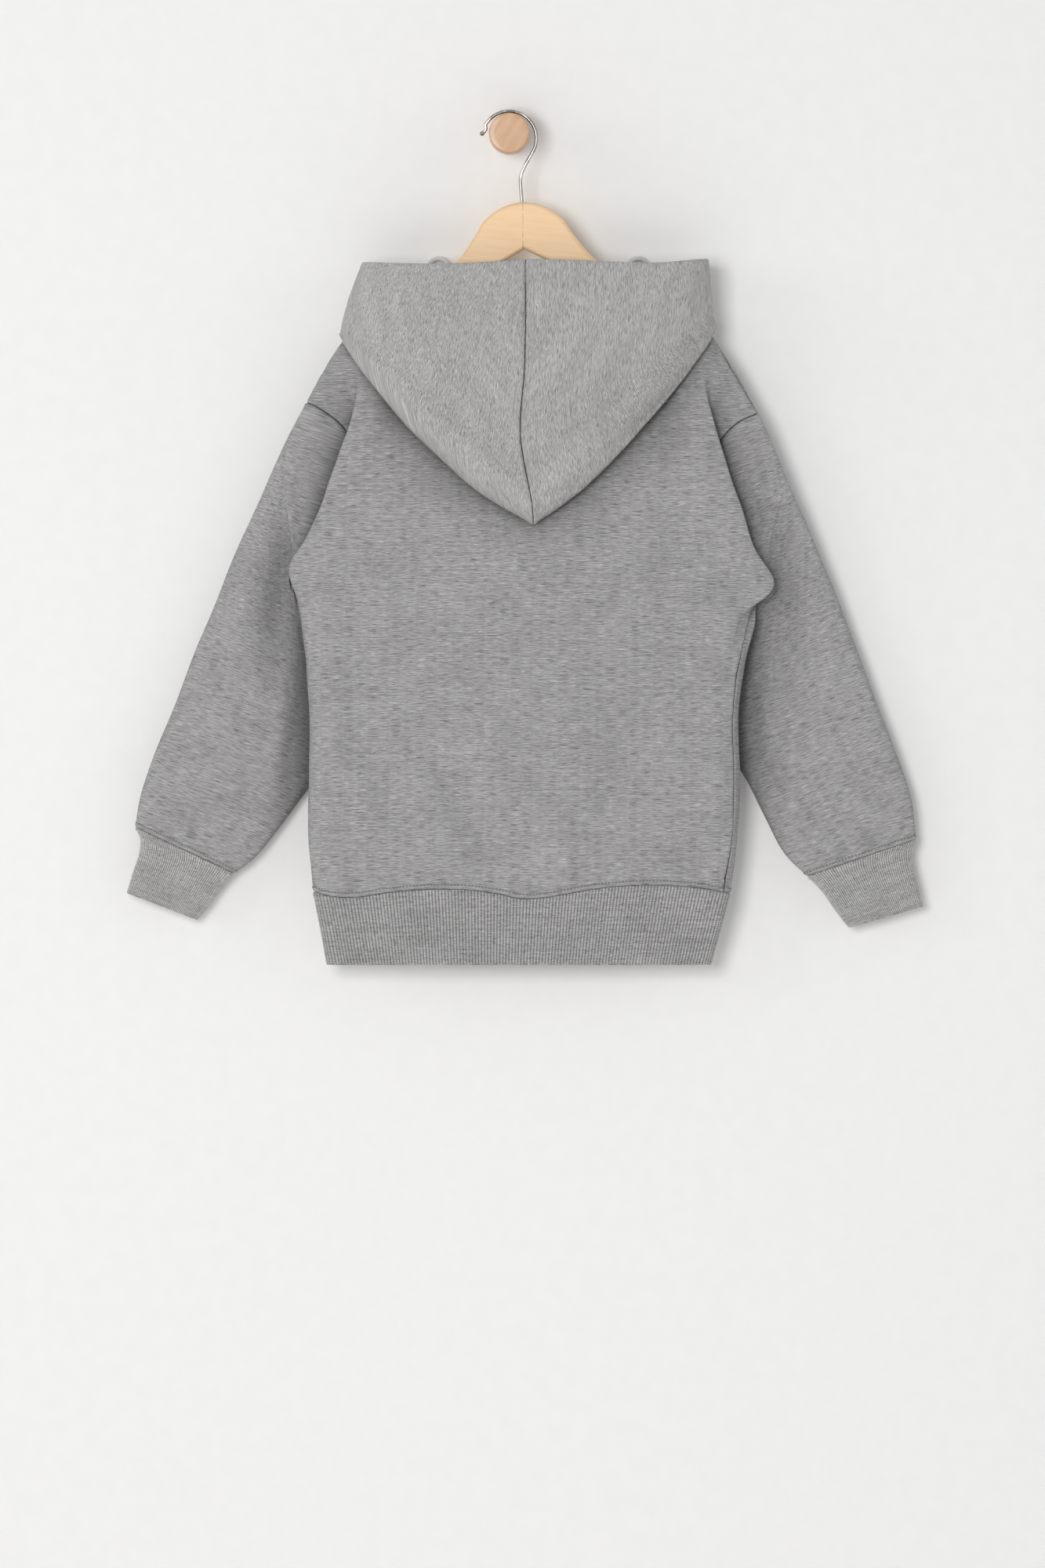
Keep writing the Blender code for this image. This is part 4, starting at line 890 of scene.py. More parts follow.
# A closed cloth wall: outer and inner skins and rolled rims between them
def clothPiece(name, grid, directions, closed, thickness, folded, uv, lift, material):
    rows, columns = grid.shape[:2]
    count = rows * columns
    outer = grid + directions * lift[:, :, None]
    inner = grid - directions * thickness
    faces = quads(rows, columns, closed)
    i, j = np.divmod(np.arange(len(faces)), columns if closed else columns - 1)
    faceUv = np.stack([uv[i, j], uv[i, j + 1], uv[i + 1, j + 1], uv[i + 1, j]], axis=1)
    points = [outer.reshape(-1, 3), inner.reshape(-1, 3)]
    allFaces = [faces, faces[:, ::-1] + count]
    allUv = [faceUv, faceUv[:, ::-1]]
    number = np.arange(count).reshape(rows, columns)
    away = np.zeros_like(grid)
    for view in edgeViews[:2] if closed else edgeViews:
        cells, edge = view(grid), view(away)
        edge[0] -= squareTo(cells[0], cells[1], view(directions)[0], closed)
    away = unit(away).reshape(-1, 3)
    roll = np.full((rows, columns), cloth["seamRound"])
    if folded:
        roll[-1] = cloth["edgeRound"]
    roll = roll.reshape(-1, 1)
    if closed:
        rims = [(number[0], uv[0]), (number[-1][::-1], uv[-1][::-1])]
    else:
        border = [np.s_[0, :], np.s_[1:, -1], np.s_[-1, -2::-1], np.s_[-2:0:-1, 0]]
        loop = np.concatenate([number[part] for part in border])
        rims = [(loop, np.concatenate([uv[part] for part in border] + [uv[:1, 0]]))]
    total = 2 * count
    for loop, loopUv in rims:
        first, last = points[0][loop], points[1][loop]
        rings = [loop]
        for turn in np.radians(cloth["rimTurns"]):
            bulge = away[loop] * roll[loop] * math.sin(turn)
            points.append((first + last) / 2 + (first - last) / 2 * math.cos(turn) + bulge)
            rings.append(np.arange(total, total + len(loop)))
            total += len(loop)
        rings.append(loop + count)
        for near, far in zip(rings[:-1], rings[1:]):
            after, beyond = np.roll(near, -1), np.roll(far, -1)
            allFaces.append(np.stack([after, near, far, beyond], axis=1))
            allUv.append(np.stack([loopUv[1:], loopUv[:-1], loopUv[:-1], loopUv[1:]], axis=1))
    mesh = meshOf(name, np.concatenate(points), np.concatenate(allFaces).tolist())
    layer = mesh.uv_layers.new(name="UVMap")
    layer.data.foreach_set("uv", np.concatenate(allUv).reshape(-1).astype(np.float32))
    return addPiece(name, mesh, material)


def meshOf(name, points, faces):
    mesh = bpy.data.meshes.new(name)
    mesh.from_pydata((np.asarray(points) * mm).tolist(), [], faces)
    return mesh


def linked(name, data):
    made = bpy.data.objects.new(name, data)
    bpy.context.scene.collection.objects.link(made)
    return made


def addPiece(name, mesh, material):
    mesh.materials.append(material)
    mesh.shade_smooth()
    piece = linked(name, mesh)
    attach(piece, "root")
    return piece


# Shared surface effects


# An empty group with these inputs (name, kind, value) and outputs, and its two ends
def nodeGroup(name, inputs, outputs):
    group = bpy.data.node_groups.new(name, "ShaderNodeTree")
    for socketName, kind, value in inputs:
        socket = group.interface.new_socket(
            socketName, in_out="INPUT", socket_type="NodeSocket" + kind
        )
        if value is not None:
            socket.default_value = value
    for socketName, kind in outputs:
        group.interface.new_socket(socketName, in_out="OUTPUT", socket_type="NodeSocket" + kind)
    given, put = group.nodes.new("NodeGroupInput"), group.nodes.new("NodeGroupOutput")
    return group, given.outputs, put.inputs


# Gives an input its value, or the socket that feeds it
def feed(tree, socket, value):
    if isinstance(value, bpy.types.NodeSocket):
        tree.links.new(value, socket)
    else:
        socket.default_value = value


# A node with its settings. Its inputs are given in order or by name
def node(tree, kind, settings=None, *values, **named):
    made = tree.nodes.new("ShaderNode" + kind)
    for key, value in (settings or {}).items():
        setattr(made, key, value)
    for socket, value in zip(made.inputs, values):
        feed(tree, socket, value)
    for key, value in named.items():
        feed(tree, made.inputs[key.replace("_", " ")], value)
    return made


def mathNode(tree, operation, *values):
    return node(tree, "Math", {"operation": operation}, *values).outputs[0]


# A value brought from its first two limits to the next two, which are 0 and 1 if left out
def mapRange(tree, value, *limits):
    return node(tree, "MapRange", None, value, *limits).outputs[0]


def rampBetween(tree, value, low, high):
    return node(tree, "MapRange", {"interpolation_type": "SMOOTHSTEP"}, value, low, high).outputs[0]


def noise(tree, place, scale, settings=None, **values):
    return node(tree, "TexNoise", settings, Vector=place, Scale=scale, **values).outputs[0]


def groupNode(tree, group, **values):
    return node(tree, "Group", {"node_tree": group}, **values).outputs


# A colour is given as a socket, or as its red, green and blue
def mixColour(tree, share, a, b, blend="MIX"):
    made = node(tree, "Mix", {"data_type": "RGBA", "blend_type": blend})
    for place, value in zip((0, 6, 7), (share, a, b)):
        feed(tree, made.inputs[place], (*value, 1) if isinstance(value, tuple) else value)
    return made.outputs[2]


# A colour made darker or lighter by a value
def shaded(tree, colour, shade, share=1.0):
    grey = node(tree, "CombineXYZ", None, shade, shade, shade).outputs[0]
    return mixColour(tree, share, colour, grey, "MULTIPLY")


# Grey marl: pale and dark fibres drawn out into short streaks along one way of the cloth
def marlGroup():
    inputs = [("Vector", "Vector", None)]
    for key, level in (("Mid", 0.33), ("Pale", 0.45), ("Dark", 0.22)):
        inputs.append((key, "Color", (level, level, level, 1)))
    for key, value in (("Streak Length", 0.006), ("Streak Width", 0.001), ("Strength", 1.0)):
        inputs.append((key, "Float", value))
    tree, given, put = nodeGroup("marl yarn", inputs, [("Color", "Color"), ("Height", "Float")])
    split = node(tree, "SeparateXYZ", None, given["Vector"]).outputs
    u = mathNode(tree, "DIVIDE", split[0], given["Streak Length"])
    v = mathNode(tree, "DIVIDE", split[1], given["Streak Width"])
    fibres = node(tree, "CombineXYZ", None, u, v).outputs[0]
    flat = {"noise_dimensions": "2D"}

    def streaks(shift, longer, detail):
        place = node(tree, "Mapping", None, Vector=fibres, Location=shift, Scale=longer).outputs[0]
        return noise(tree, place, 1.0, flat, Detail=detail, Roughness=0.6)

    def mask(streak, high):
        return mathNode(tree, "MULTIPLY", rampBetween(tree, streak, 0.48, high), given["Strength"])

    pale = mask(streaks((3.1, 7.7, 0), (1, 1, 1), 2.0), 0.72)
    dark = mask(streaks((37.3, 51.9, 0), (0.8, 0.9, 1), 2.0), 0.74)
    courses = streaks((11.9, 5.3, 0), (0.09, 0.45, 1), 3.0)
    cloud = noise(tree, given["Vector"], 30.0, flat, Detail=2.0)
    colour = mixColour(tree, pale, given["Mid"], given["Pale"])
    colour = mixColour(tree, dark, colour, given["Dark"])
    for value, low, high in ((courses, 0.86, 1.14), (cloud, 0.95, 1.05)):
        colour = shaded(tree, colour, mapRange(tree, value, 0.3, 0.7, low, high))
    tree.links.new(colour, put["Color"])
    tree.links.new(mathNode(tree, "SUBTRACT", pale, dark), put["Height"])
    return tree


# Painted shade in the valleys between the ribs and a faint painted highlight on their crests; the ribs run
# down the cloth this far apart
def paintedRibShadeGroup():
    inputs = [("Color", "Color", (0.3, 0.3, 0.3, 1)), ("Vector", "Vector", None), ("Pitch", "Float", 0.0027)]
    tree, given, put = nodeGroup("painted rib shade", inputs, [("Color", "Color")])
    across = node(tree, "SeparateXYZ", None, given["Vector"]).outputs[0]
    phase = mathNode(tree, "DIVIDE", across, given["Pitch"])
    wave = mathNode(tree, "COSINE", mathNode(tree, "MULTIPLY", phase, 2 * math.pi))
    # painted shade in each rib valley (down to 0.62) and a painted highlight on each crest (up to 1.06)
    tree.links.new(shaded(tree, given["Color"], mapRange(tree, wave, -1.0, 0.4, 0.62, 1.06)), put["Color"])
    return tree


# Fine loose fibres standing off brushed or washed cotton
def napGroup():
    inputs = [("Vector", "Vector", None), ("Size", "Float", 0.0006)]
    tree, given, put = nodeGroup("cotton nap", inputs, [("Height", "Float")])
    scale = mathNode(tree, "DIVIDE", 1.0, given["Size"])
    tree.links.new(noise(tree, given["Vector"], scale, Detail=3.0, Roughness=0.7), put["Height"])
    return tree


# Painted shade deep in folds and beside seams, darkened into the colour by ambient occlusion, but not on the
# cloth that faces the wall
def paintedFoldShadeGroup():
    inputs = [("Color", "Color", (0.3, 0.3, 0.3, 1)), ("Reach", "Float", 0.05)]
    tree, given, put = nodeGroup("painted fold shade", inputs, [("Color", "Color")])
    light = node(tree, "AmbientOcclusion", {"samples": 2}, Distance=given["Reach"]).outputs["AO"]
    toWall = node(tree, "SeparateXYZ", None, node(tree, "NewGeometry").outputs["Normal"]).outputs[1]
    shade, away = mapRange(tree, light, 0.37, 0.82, 0.1, 1.0), mapRange(tree, toWall, 0.5, 0.0)
    # painted shade: the colour is darkened where ambient occlusion finds cloth close by
    tree.links.new(shaded(tree, given["Color"], shade, away), put["Color"])
    return tree


# A material with its tree, its shader and the place on the piece that is shaded
def newMaterial(name):
    material = bpy.data.materials.new(name)
    material.use_nodes = True
    tree = material.node_tree
    return material, tree, tree.nodes["Principled BSDF"], node(tree, "TexCoord").outputs["Object"]


# Gives a shader its colour, its bump (height, strength, distance) and its plain values
def dress(tree, shader, colour, bump=None, **values):
    tree.links.new(colour, shader.inputs["Base Color"])
    if bump:
        height, strength, distance = bump
        made = node(tree, "Bump", None, Strength=strength, Distance=distance, Height=height)
        tree.links.new(made.outputs[0], shader.inputs["Normal"])
    for name, value in values.items():
        shader.inputs[name.replace("_", " ")].default_value = value


# Two shaders mixed by a share on their way to the tree's output
def mixShaders(tree, share, first, second, output):
    blend = node(tree, "MixShader", None, share, first.outputs[0], second.outputs[0])
    tree.links.new(blend.outputs[0], tree.nodes[output].inputs[0])


marlCloth = {
    # name: mid, pale and dark fibres, streak length and width in metres, strength, nap
    "body fleece": (
        (0.338, 0.331, 0.333), (0.53, 0.52, 0.517), (0.165, 0.16, 0.163), 0.0085, 0.0005, 1.05, 0.35
    ),
    "hood fleece": (
        (0.397, 0.391, 0.382), (0.60, 0.59, 0.577), (0.22, 0.216, 0.21), 0.0056, 0.0005, 1.1, 0.35
    ),
    "hem rib": ((0.375, 0.368, 0.368), (0.5, 0.495, 0.49), (0.2, 0.197, 0.195), 0.004, 0.001, 0.8, 0.25),
    "cuff rib": ((0.445, 0.437, 0.431), (0.6, 0.59, 0.58), (0.25, 0.246, 0.242), 0.004, 0.001, 0.8, 0.25),
}


def marlMaterial(name, groups):
    mid, pale, dark, length, width, strength, nap = marlCloth[name]
    material, tree, shader, place = newMaterial(name)
    uv = node(tree, "UVMap", {"uv_map": "UVMap"}).outputs[0]
    marl = groupNode(
        tree, groups["marl"], Vector=uv, Mid=(*mid, 1), Pale=(*pale, 1), Dark=(*dark, 1),
        Streak_Length=length, Streak_Width=width, Strength=strength,
    )
    fuzz = groupNode(tree, groups["nap"], Vector=place)[0]
    height = mathNode(tree, "MULTIPLY_ADD", fuzz, 1.6, marl["Height"])
    # ribs get painted shade in their valleys, other cloth gets painted shade in its folds and beside seams
    if "rib" in name:
        colour = groupNode(tree, groups["rib"], Color=marl["Color"], Vector=uv, Pitch=ribKnit["pitch"])[0]
    else:
        colour = groupNode(tree, groups["valley"], Color=marl["Color"])[0]
    dress(
        tree, shader, colour, (height, nap, 0.0006),
        Roughness=0.95, Specular_IOR_Level=0.2, Sheen_Weight=0.12, Sheen_Roughness=0.6,
    )
    return material


woodLook = {
    # pale colour, its grain, the grain's turn, how quickly it changes along itself, and its axis
    "hanger": ((0.87, 0.60, 0.345), (0.83, 0.555, 0.30), -0.12, 26.0, 0),
    "peg": ((0.60, 0.37, 0.215), (0.49, 0.285, 0.15), -0.6, 30.0, 2),
    "across": 14,  # the grain changes this many times quicker across than along
    "flecks": (260, 1500),
    "fleckShare": 0.4,
}


# The hanger's two halves meet in a fine brown line below its hook
glueLine = {"x": 0.0122, "half": 0.0005, "dots": 500.0, "colour": (0.60, 0.39, 0.21)}


# Straight grain down one axis, with the short dark flecks of beech
def woodMaterial(name):
    pale, grain, turn, quick, axis = woodLook[name]
    material, tree, shader, place = newMaterial("satin beech " + name)
    turned = node(tree, "Mapping", None, Vector=place, Rotation=(0, turn, 0)).outputs[0]

    def grained(along, across, **values):
        scale = [along if k == axis else across for k in range(3)]
        return noise(tree, node(tree, "Mapping", None, Vector=turned, Scale=scale).outputs[0], 1.0, **values)

    bands = grained(quick, quick * woodLook["across"], Detail=4.0, Roughness=0.6)
    flecks = rampBetween(tree, grained(*woodLook["flecks"], Detail=1.0), 0.64, 0.72)
    colour = mixColour(tree, rampBetween(tree, bands, 0.35, 0.75), pale, grain)
    colour = mixColour(tree, mathNode(tree, "MULTIPLY", flecks, woodLook["fleckShare"]), colour, grain)
    if name == "hanger":
        across = node(tree, "SeparateXYZ", None, place).outputs[0]
        off = mathNode(tree, "ABSOLUTE", mathNode(tree, "SUBTRACT", across, glueLine["x"]))
        line = mathNode(tree, "LESS_THAN", off, glueLine["half"])
        dots = rampBetween(tree, noise(tree, place, glueLine["dots"]), 0.35, 0.6)
        colour = mixColour(tree, mathNode(tree, "MULTIPLY", line, dots), colour, glueLine["colour"])
    dress(tree, shader, colour, (bands, 0.15, 0.0004), Roughness=0.42, Coat_Weight=0.15)
    return material


def chromeMaterial():
    material, tree, shader, place = newMaterial("chrome wire")
    place = node(tree, "Mapping", None, Vector=place, Scale=(1.0, 1.0, 0.25)).outputs[0]
    drawn = rampBetween(tree, noise(tree, place, 150.0, Detail=1.0), 0.4, 0.6)
    colour = mixColour(tree, drawn, (0.50, 0.49, 0.48), (0.23, 0.22, 0.21))
    dress(tree, shader, colour, Metallic=1.0, Roughness=0.16)
    return material


def cordMaterial(groups):
    material, tree, shader, place = newMaterial("cotton cord")
    fuzz = groupNode(tree, groups["nap"], Vector=place)[0]
    colour = mixColour(tree, rampBetween(tree, fuzz, 0.3, 0.7), (0.58, 0.57, 0.56), (0.74, 0.73, 0.715))
    dress(tree, shader, colour, (fuzz, 0.4, 0.0005), Roughness=0.9)
    return material


# Hanger, hook and peg


woodAndWire = {
    # places along the bar's top: from its middle out, from there to its arm's end, and round that end
    "inner": (0, 60, 41),
    "outer": (62, 140, 30),
    "armEnd": (143, 146, 148.5, 150.5, 152.3),
    "under": ((149, -122), (140, -120.5), (110, -103), (60, -75.5), (12, -48.5), (0, -42)),
    "thickness": 11.0,
    "edge": 3.0,
    "wire": 1.5,
    "tip": 2.1,  # radius of the small ball at the wire's end, and of the flat on it
    "tipFlat": 0.4,
    "round": 24.3,  # radius of the hook
    # the wire from the hanger's top up to the round of the hook, that round in degrees, and its end
    "stem": ((11.4, -61.0), (10.9, -55), (10.4, -49), (10.0, -43), (10.8, -37), (13.2, -31)),
    "turns": (-32, 150, 20),
    "end": ((-20.8, 4), (-23, 0.6), (-26, -1.2)),
    "wirePoints": 220,
    "wireSides": 24,
    "pegRadius": 18.0,
    "pegLength": 58.0,
    "pegEdge": 1.2,
    "pegTurns": (22.5, 45, 67.5, 90),  # degrees round its edge
    "pegFace": (0.66, 0.33),  # rings on its face, as shares of its radius
    "pegSides": 96,
    "sharp": math.radians(40),
}


def hangerWood(material):
    inner, outer, armEnd = (woodAndWire[key] for key in ("inner", "outer", "armEnd"))
    outs = np.concatenate([np.linspace(*inner), np.linspace(*outer), armEnd])
    top = np.stack([outs, lookup(hangerLine["top"], "out", "up", outs)], axis=1)
    under = np.array(woodAndWire["under"], float)
    low = [mix(a, b, share) for a, b in zip(under[:-1], under[1:]) for share in (0, 0.25, 0.5, 0.75)]
    half = np.concatenate([top, low, under[-1:]])
    outline = np.concatenate([half, half[-2:0:-1] * (-1, 1)])
    edge = woodAndWire["edge"]
    curve = bpy.data.curves.new("hanger_wood", "CURVE")
    curve.dimensions, curve.fill_mode = "2D", "BOTH"
    curve.extrude = (woodAndWire["thickness"] / 2 - edge) * mm
    curve.bevel_depth, curve.offset = edge * mm, -edge * mm
    curve.bevel_resolution, curve.render_resolution_u = 4, 0
    line = curve.splines.new("POLY")
    line.use_cyclic_u = True
    line.points.add(len(outline) - 1)
    for point, (x, z) in zip(line.points, outline):
        point.co = (x * mm, z * mm, 0, 1)
    shape = linked("hanger_shape", curve)
    x, z = hangerLine["apex"]
    shape.location = (x * mm, hangerLine["y"] * mm, z * mm)
    shape.rotation_euler = (math.pi / 2, -hangerLine["tilt"], 0)
    bpy.context.view_layer.update()
    mesh = bpy.data.meshes.new_from_object(shape.evaluated_get(bpy.context.evaluated_depsgraph_get()))
    mesh.transform(shape.matrix_world)
    bpy.data.objects.remove(shape)
    piece = addPiece("hanger_wood", mesh, material)
    mesh.set_sharp_from_angle(angle=woodAndWire["sharp"])
    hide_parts("hanger_bar")


# A mesh of equal rings, closed at each end round a point
def cappedMesh(name, rings, ends):
    rows, sides = len(rings), len(rings[0])
    first, base = rows * sides, (rows - 1) * sides
    faces = quads(rows, sides, True)[:, ::-1].tolist()
    for k in range(sides):
        after = (k + 1) % sides
        faces += [(first, after, k), (first + 1, base + k, base + after)]
    return meshOf(name, np.concatenate([np.array(rings).reshape(-1, 3), ends]), faces)


# A tube along a line: its radius may change along it, and a lift may be added round it
def tube(name, line, radius, sides, material, lift=None):
    line = np.asarray(line, float)
    tangents = unit(np.gradient(line, axis=0))
    side = unit(np.cross(tangents[0], (0.3, 1, 0.2)))  # any way across it will do
    rings = []
    turn = np.linspace(0, 2 * math.pi, sides, endpoint=False)
    radii = np.broadcast_to(np.asarray(radius, float), (len(line),))
    for i, (point, tangent) in enumerate(zip(line, tangents)):
        side = unit(side - tangent * np.dot(side, tangent))
        other = np.cross(tangent, side)
        wide = radii[i] + (lift(turn, i) if lift else 0)
        rings.append(point + (np.cos(turn) * wide)[:, None] * side + (np.sin(turn) * wide)[:, None] * other)
    return addPiece(name, cappedMesh(name, rings, line[[0, -1]]), material)


def hookWire(material):
    wire, bend, ball = (woodAndWire[key] for key in ("wire", "round", "tip"))
    middle = woodAndWire["pegRadius"] + cloth["seamGap"] + wire - bend
    turns = np.radians(np.linspace(*woodAndWire["turns"]))
    arc = np.stack([bend * np.cos(turns), middle + bend * np.sin(turns)], axis=1)
    keys = np.concatenate([woodAndWire["stem"], arc, woodAndWire["end"]])
    far = lengths(keys)
    run = np.linspace(0, far[-1], woodAndWire["wirePoints"])
    line = np.insert(smooth(far, keys, run), 1, hangerLine["y"], axis=1)
    radius = np.maximum(wire, np.sqrt(np.maximum(ball**2 - (far[-1] - run - ball) ** 2, 0)))
    radius[-1] = woodAndWire["tipFlat"]
    piece = tube("hook_wire", line, radius, woodAndWire["wireSides"], material)
    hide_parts("hanger_hook")


def pegWood(material):
    radius, length, edge = (woodAndWire[key] for key in ("pegRadius", "pegLength", "pegEdge"))
    profile = [(radius, 0.0), (radius, length - edge)]
    for turn in np.radians(woodAndWire["pegTurns"]):
        profile.append((radius - edge * (1 - math.cos(turn)), length - edge + edge * math.sin(turn)))
    profile += [(radius * share, length) for share in woodAndWire["pegFace"]]
    turns = np.linspace(0, 2 * math.pi, woodAndWire["pegSides"], endpoint=False)
    rings = [[(r * math.cos(a), -out, r * math.sin(a)) for a in turns] for r, out in profile]
    mesh = cappedMesh("peg_wood", rings, [(0, 0, 0), (0, -length, 0)])
    piece = addPiece("peg_wood", mesh, material)
    mesh.set_sharp_from_angle(angle=woodAndWire["sharp"])
    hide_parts("wall_peg")


# Drawcords


cordLay = {
    # each leaves a sewn hole in the hood's front, lies up it, bends over its edge and hangs inside
    "sides": table(
        "side outX outY inY knotY", (-1, -72.5, -7.0, -14.8, -17.3), (1, 124.5, -7.4, -15.1, -17.7)
    ),
    "bend": 10.0,
    "top": -111.4,
    "exit": -151.0,
    "end": -185.0,
    "holeTurns": (-45, 0, 4),  # degrees it turns as it comes out of its hole, and the points in them
    "bow": 2.2,  # how far it stands off the hood above its hole
    "bowEnd": (0.3, 10),  # how much less that is at a height over the hole
    "laid": (0.6, 21),  # how far it is off the hood where it lies on it, and that height
    "overPoints": 13,
    "inside": (22, 44),  # drops below the edge, first close to the hood and then on the way to the knot
    "close": 0.1,  # how far it is off its bend's line at the first
    "onTheWay": 0.35,  # and how far across to the knot at the second
    "points": 34,
    "radius": 2.4,
    "step": 0.55,  # between rings of the finished cord
    "roundSides": 24,
    "strands": 8,
    "braid": 7.5,  # length in which a strand goes once round
    "relief": 0.28,
    "knot": 4.6,
    "knotRings": 48,
    "knotSides": 40,
    "knotPole": 0.04,  # how far from its two poles the knot's rings start
    "wraps": 2.2,  # half turns of the cord round its knot, and how deep they part
    "wrapDepth": 0.55,
    "wrapRound": 0.6,  # the smaller, the rounder a turn and the narrower the gap beside it
}


# From its hole up the hood's front, over the edge in one round bend and down inside
def cordRoute(side, outX, outY, inY, knotY):
    bend, top, hole = (cordLay[key] for key in ("bend", "top", "exit"))
    inX = outX - side * math.sqrt((2 * bend) ** 2 - (outY - inY) ** 2)
    bow = outY + cordLay["bow"]
    keys = []
    for turn in np.radians(np.linspace(*cordLay["holeTurns"])):
        keys.append((outX, bow - bend * (1 - math.cos(turn)), hole + bend * math.sin(turn)))
    (less, low), (off, high) = cordLay["bowEnd"], cordLay["laid"]
    keys += [(outX, bow - less, hole + low), (outX, outY + off, hole + high)]
    for turn in np.linspace(0, math.pi, cordLay["overPoints"]):
        over = (1 - math.cos(turn)) / 2
        keys.append((mix(outX, inX, over), mix(outY, inY, over), top + bend * (math.sin(turn) - 1)))
    first, second = cordLay["inside"]
    keys += [(inX, inY - cordLay["close"], top - first)]
    keys += [(inX, mix(inY, knotY, cordLay["onTheWay"]), top - second), (inX, knotY, cordLay["end"])]
    far = lengths(keys)
    return smooth(far, keys, np.linspace(0, far[-1], cordLay["points"]))


# Two sets of strands that wind opposite ways and pass over each other
def braidLift(turn, run):
    winding = run / cordLay["braid"] * 2 * math.pi
    strands = cordLay["strands"] / 2
    one, other = np.cos(strands * (turn + winding)), np.cos(strands * (turn - winding))
    return cordLay["relief"] * (np.maximum(one, other) - 1)


def drawcord(sideName, route, material):
    far = lengths(route)
    run = np.arange(0, far[-1], cordLay["step"])
    line = smooth(far, route, run)
    radius, sides = cordLay["radius"], cordLay["roundSides"]
    cord = tube("cord_" + sideName, line, radius, sides, material, lambda turn, i: braidLift(turn, run[i]))
    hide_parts("drawcord_" + sideName)
    knot = cordKnot(sideName, route, material)


# The cord pulled round itself into a tight round knot
def cordKnot(sideName, route, material):
    size = cordLay["knot"]
    down = unit(route[-1] - route[-2])
    centre = route[-1] + down * (size + cloth["seamGap"])
    pole = cordLay["knotPole"]
    heights = np.cos(np.linspace(pole, math.pi - pole, cordLay["knotRings"]))
    line = centre - down * heights[:, None] * size
    radius = size * np.sqrt(1 - heights**2)

    def wraps(turn, i):
        wave = np.abs(np.sin(cordLay["wraps"] * heights[i] * math.pi + turn)) ** cordLay["wrapRound"]
        return cordLay["wrapDepth"] * (wave - 1) * radius[i] / size

    knot = tube(f"cord_knot_{sideName}_wraps", line, radius, cordLay["knotSides"], material, wraps)
    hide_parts("cord_knot_" + sideName)
    return knot


# Stitches


stitchWork = {
    "length": 2.0,
    "every": 3.1,
    "thick": 0.42,
    "aboveSeam": 3.6,
    "standOff": 0.12,
    "sides": 6,
    # each stitch's rings: place along it, width and height
    "rings": ((-1, 0.15, -0.3), (-0.75, 0.85, 0), (0, 1, 0.25), (0.75, 0.85, 0), (1, 0.15, -0.3)),
    # a loose end of thread at the right underarm
    "loose": (
        (232.5, -49, -405), (235, -53, -410), (232, -55, -414.5), (226, -55, -416), (221.5, -56, -419.5),
    ),
    "loosePoints": 40,
    # the pieces each line of stitches runs through, its own piece first
    "through": {
        "hem_stitching": ("back_panel", "front_panel"),
        "cuff_stitching_left": ("sleeve_left",),
        "cuff_stitching_right": ("sleeve_right",),
    },
}


# Points read from a line at one place along it
def readAt(place, keys, line):
    return np.array([np.interp(place, keys, line[:, k]) for k in range(3)])


# A line on the cloth this far in from a grid's last row, and the way out of the cloth along it
def lineAbove(grid, directions, distance):
    grid, directions = grid[::-1], directions[::-1]
    far = reach(grid).T
    line, out = (
        np.array([readAt(distance, rising, values[:, j]) for j, rising in enumerate(far)])
        for values in (grid, directions)
    )
    return line, unit(out)


# Short thread capsules along lines, joined in one mesh
def stitching(name, lines, material):
    points, faces = [], []
    length, thick, sides, rings = (stitchWork[key] for key in ("length", "thick", "sides", "rings"))
    turn = np.linspace(0, 2 * math.pi, sides, endpoint=False)[:, None]
    for line, outward in lines:
        far = lengths(line)
        for start in np.arange(length, far[-1] - length, stitchWork["every"]):
            here = readAt(start, far, line)
            out = unit(readAt(start, far, outward))
            ahead = unit(readAt(start + 1, far, line) - here)
            side = np.cross(ahead, out)
            first = len(points)
            for share, wide, lift in rings:
                centre = here + ahead * (length / 2) * share + out * (lift * thick + stitchWork["standOff"])
                points += (centre + (np.cos(turn) * side + np.sin(turn) * out) * thick * wide).tolist()
            faces += (quads(len(rings), sides, True) + first).tolist()
            last = len(points) - sides
            faces += [tuple(range(first, first + sides))[::-1], tuple(range(last, last + sides))]
    return addPiece(name, meshOf(name, points, faces), material)


def threadMaterial():
    material, tree, shader, place = newMaterial("sewing thread")
    twist = node(tree, "TexWave", None, Vector=place, Scale=700.0, Distortion=2.0).outputs[0]
    dress(tree, shader, mixColour(tree, twist, (0.15, 0.148, 0.146), (0.24, 0.236, 0.232)), Roughness=0.7)
    return material


# The garment


ribKnit = {
    "columns": 6,  # points across each rib
    "depth": 0.6,
    "bluntness": 0.7,  # the smaller, the squarer a rib
    "sunk": 1.2,  # how much of twice its depth lies under the cloth's plain face
    "pitch": 0.0025,  # one rib in the cloth's own coordinates
    "ribs": {"cuff_left": 92, "cuff_right": 92, "hem_band": 262},
}

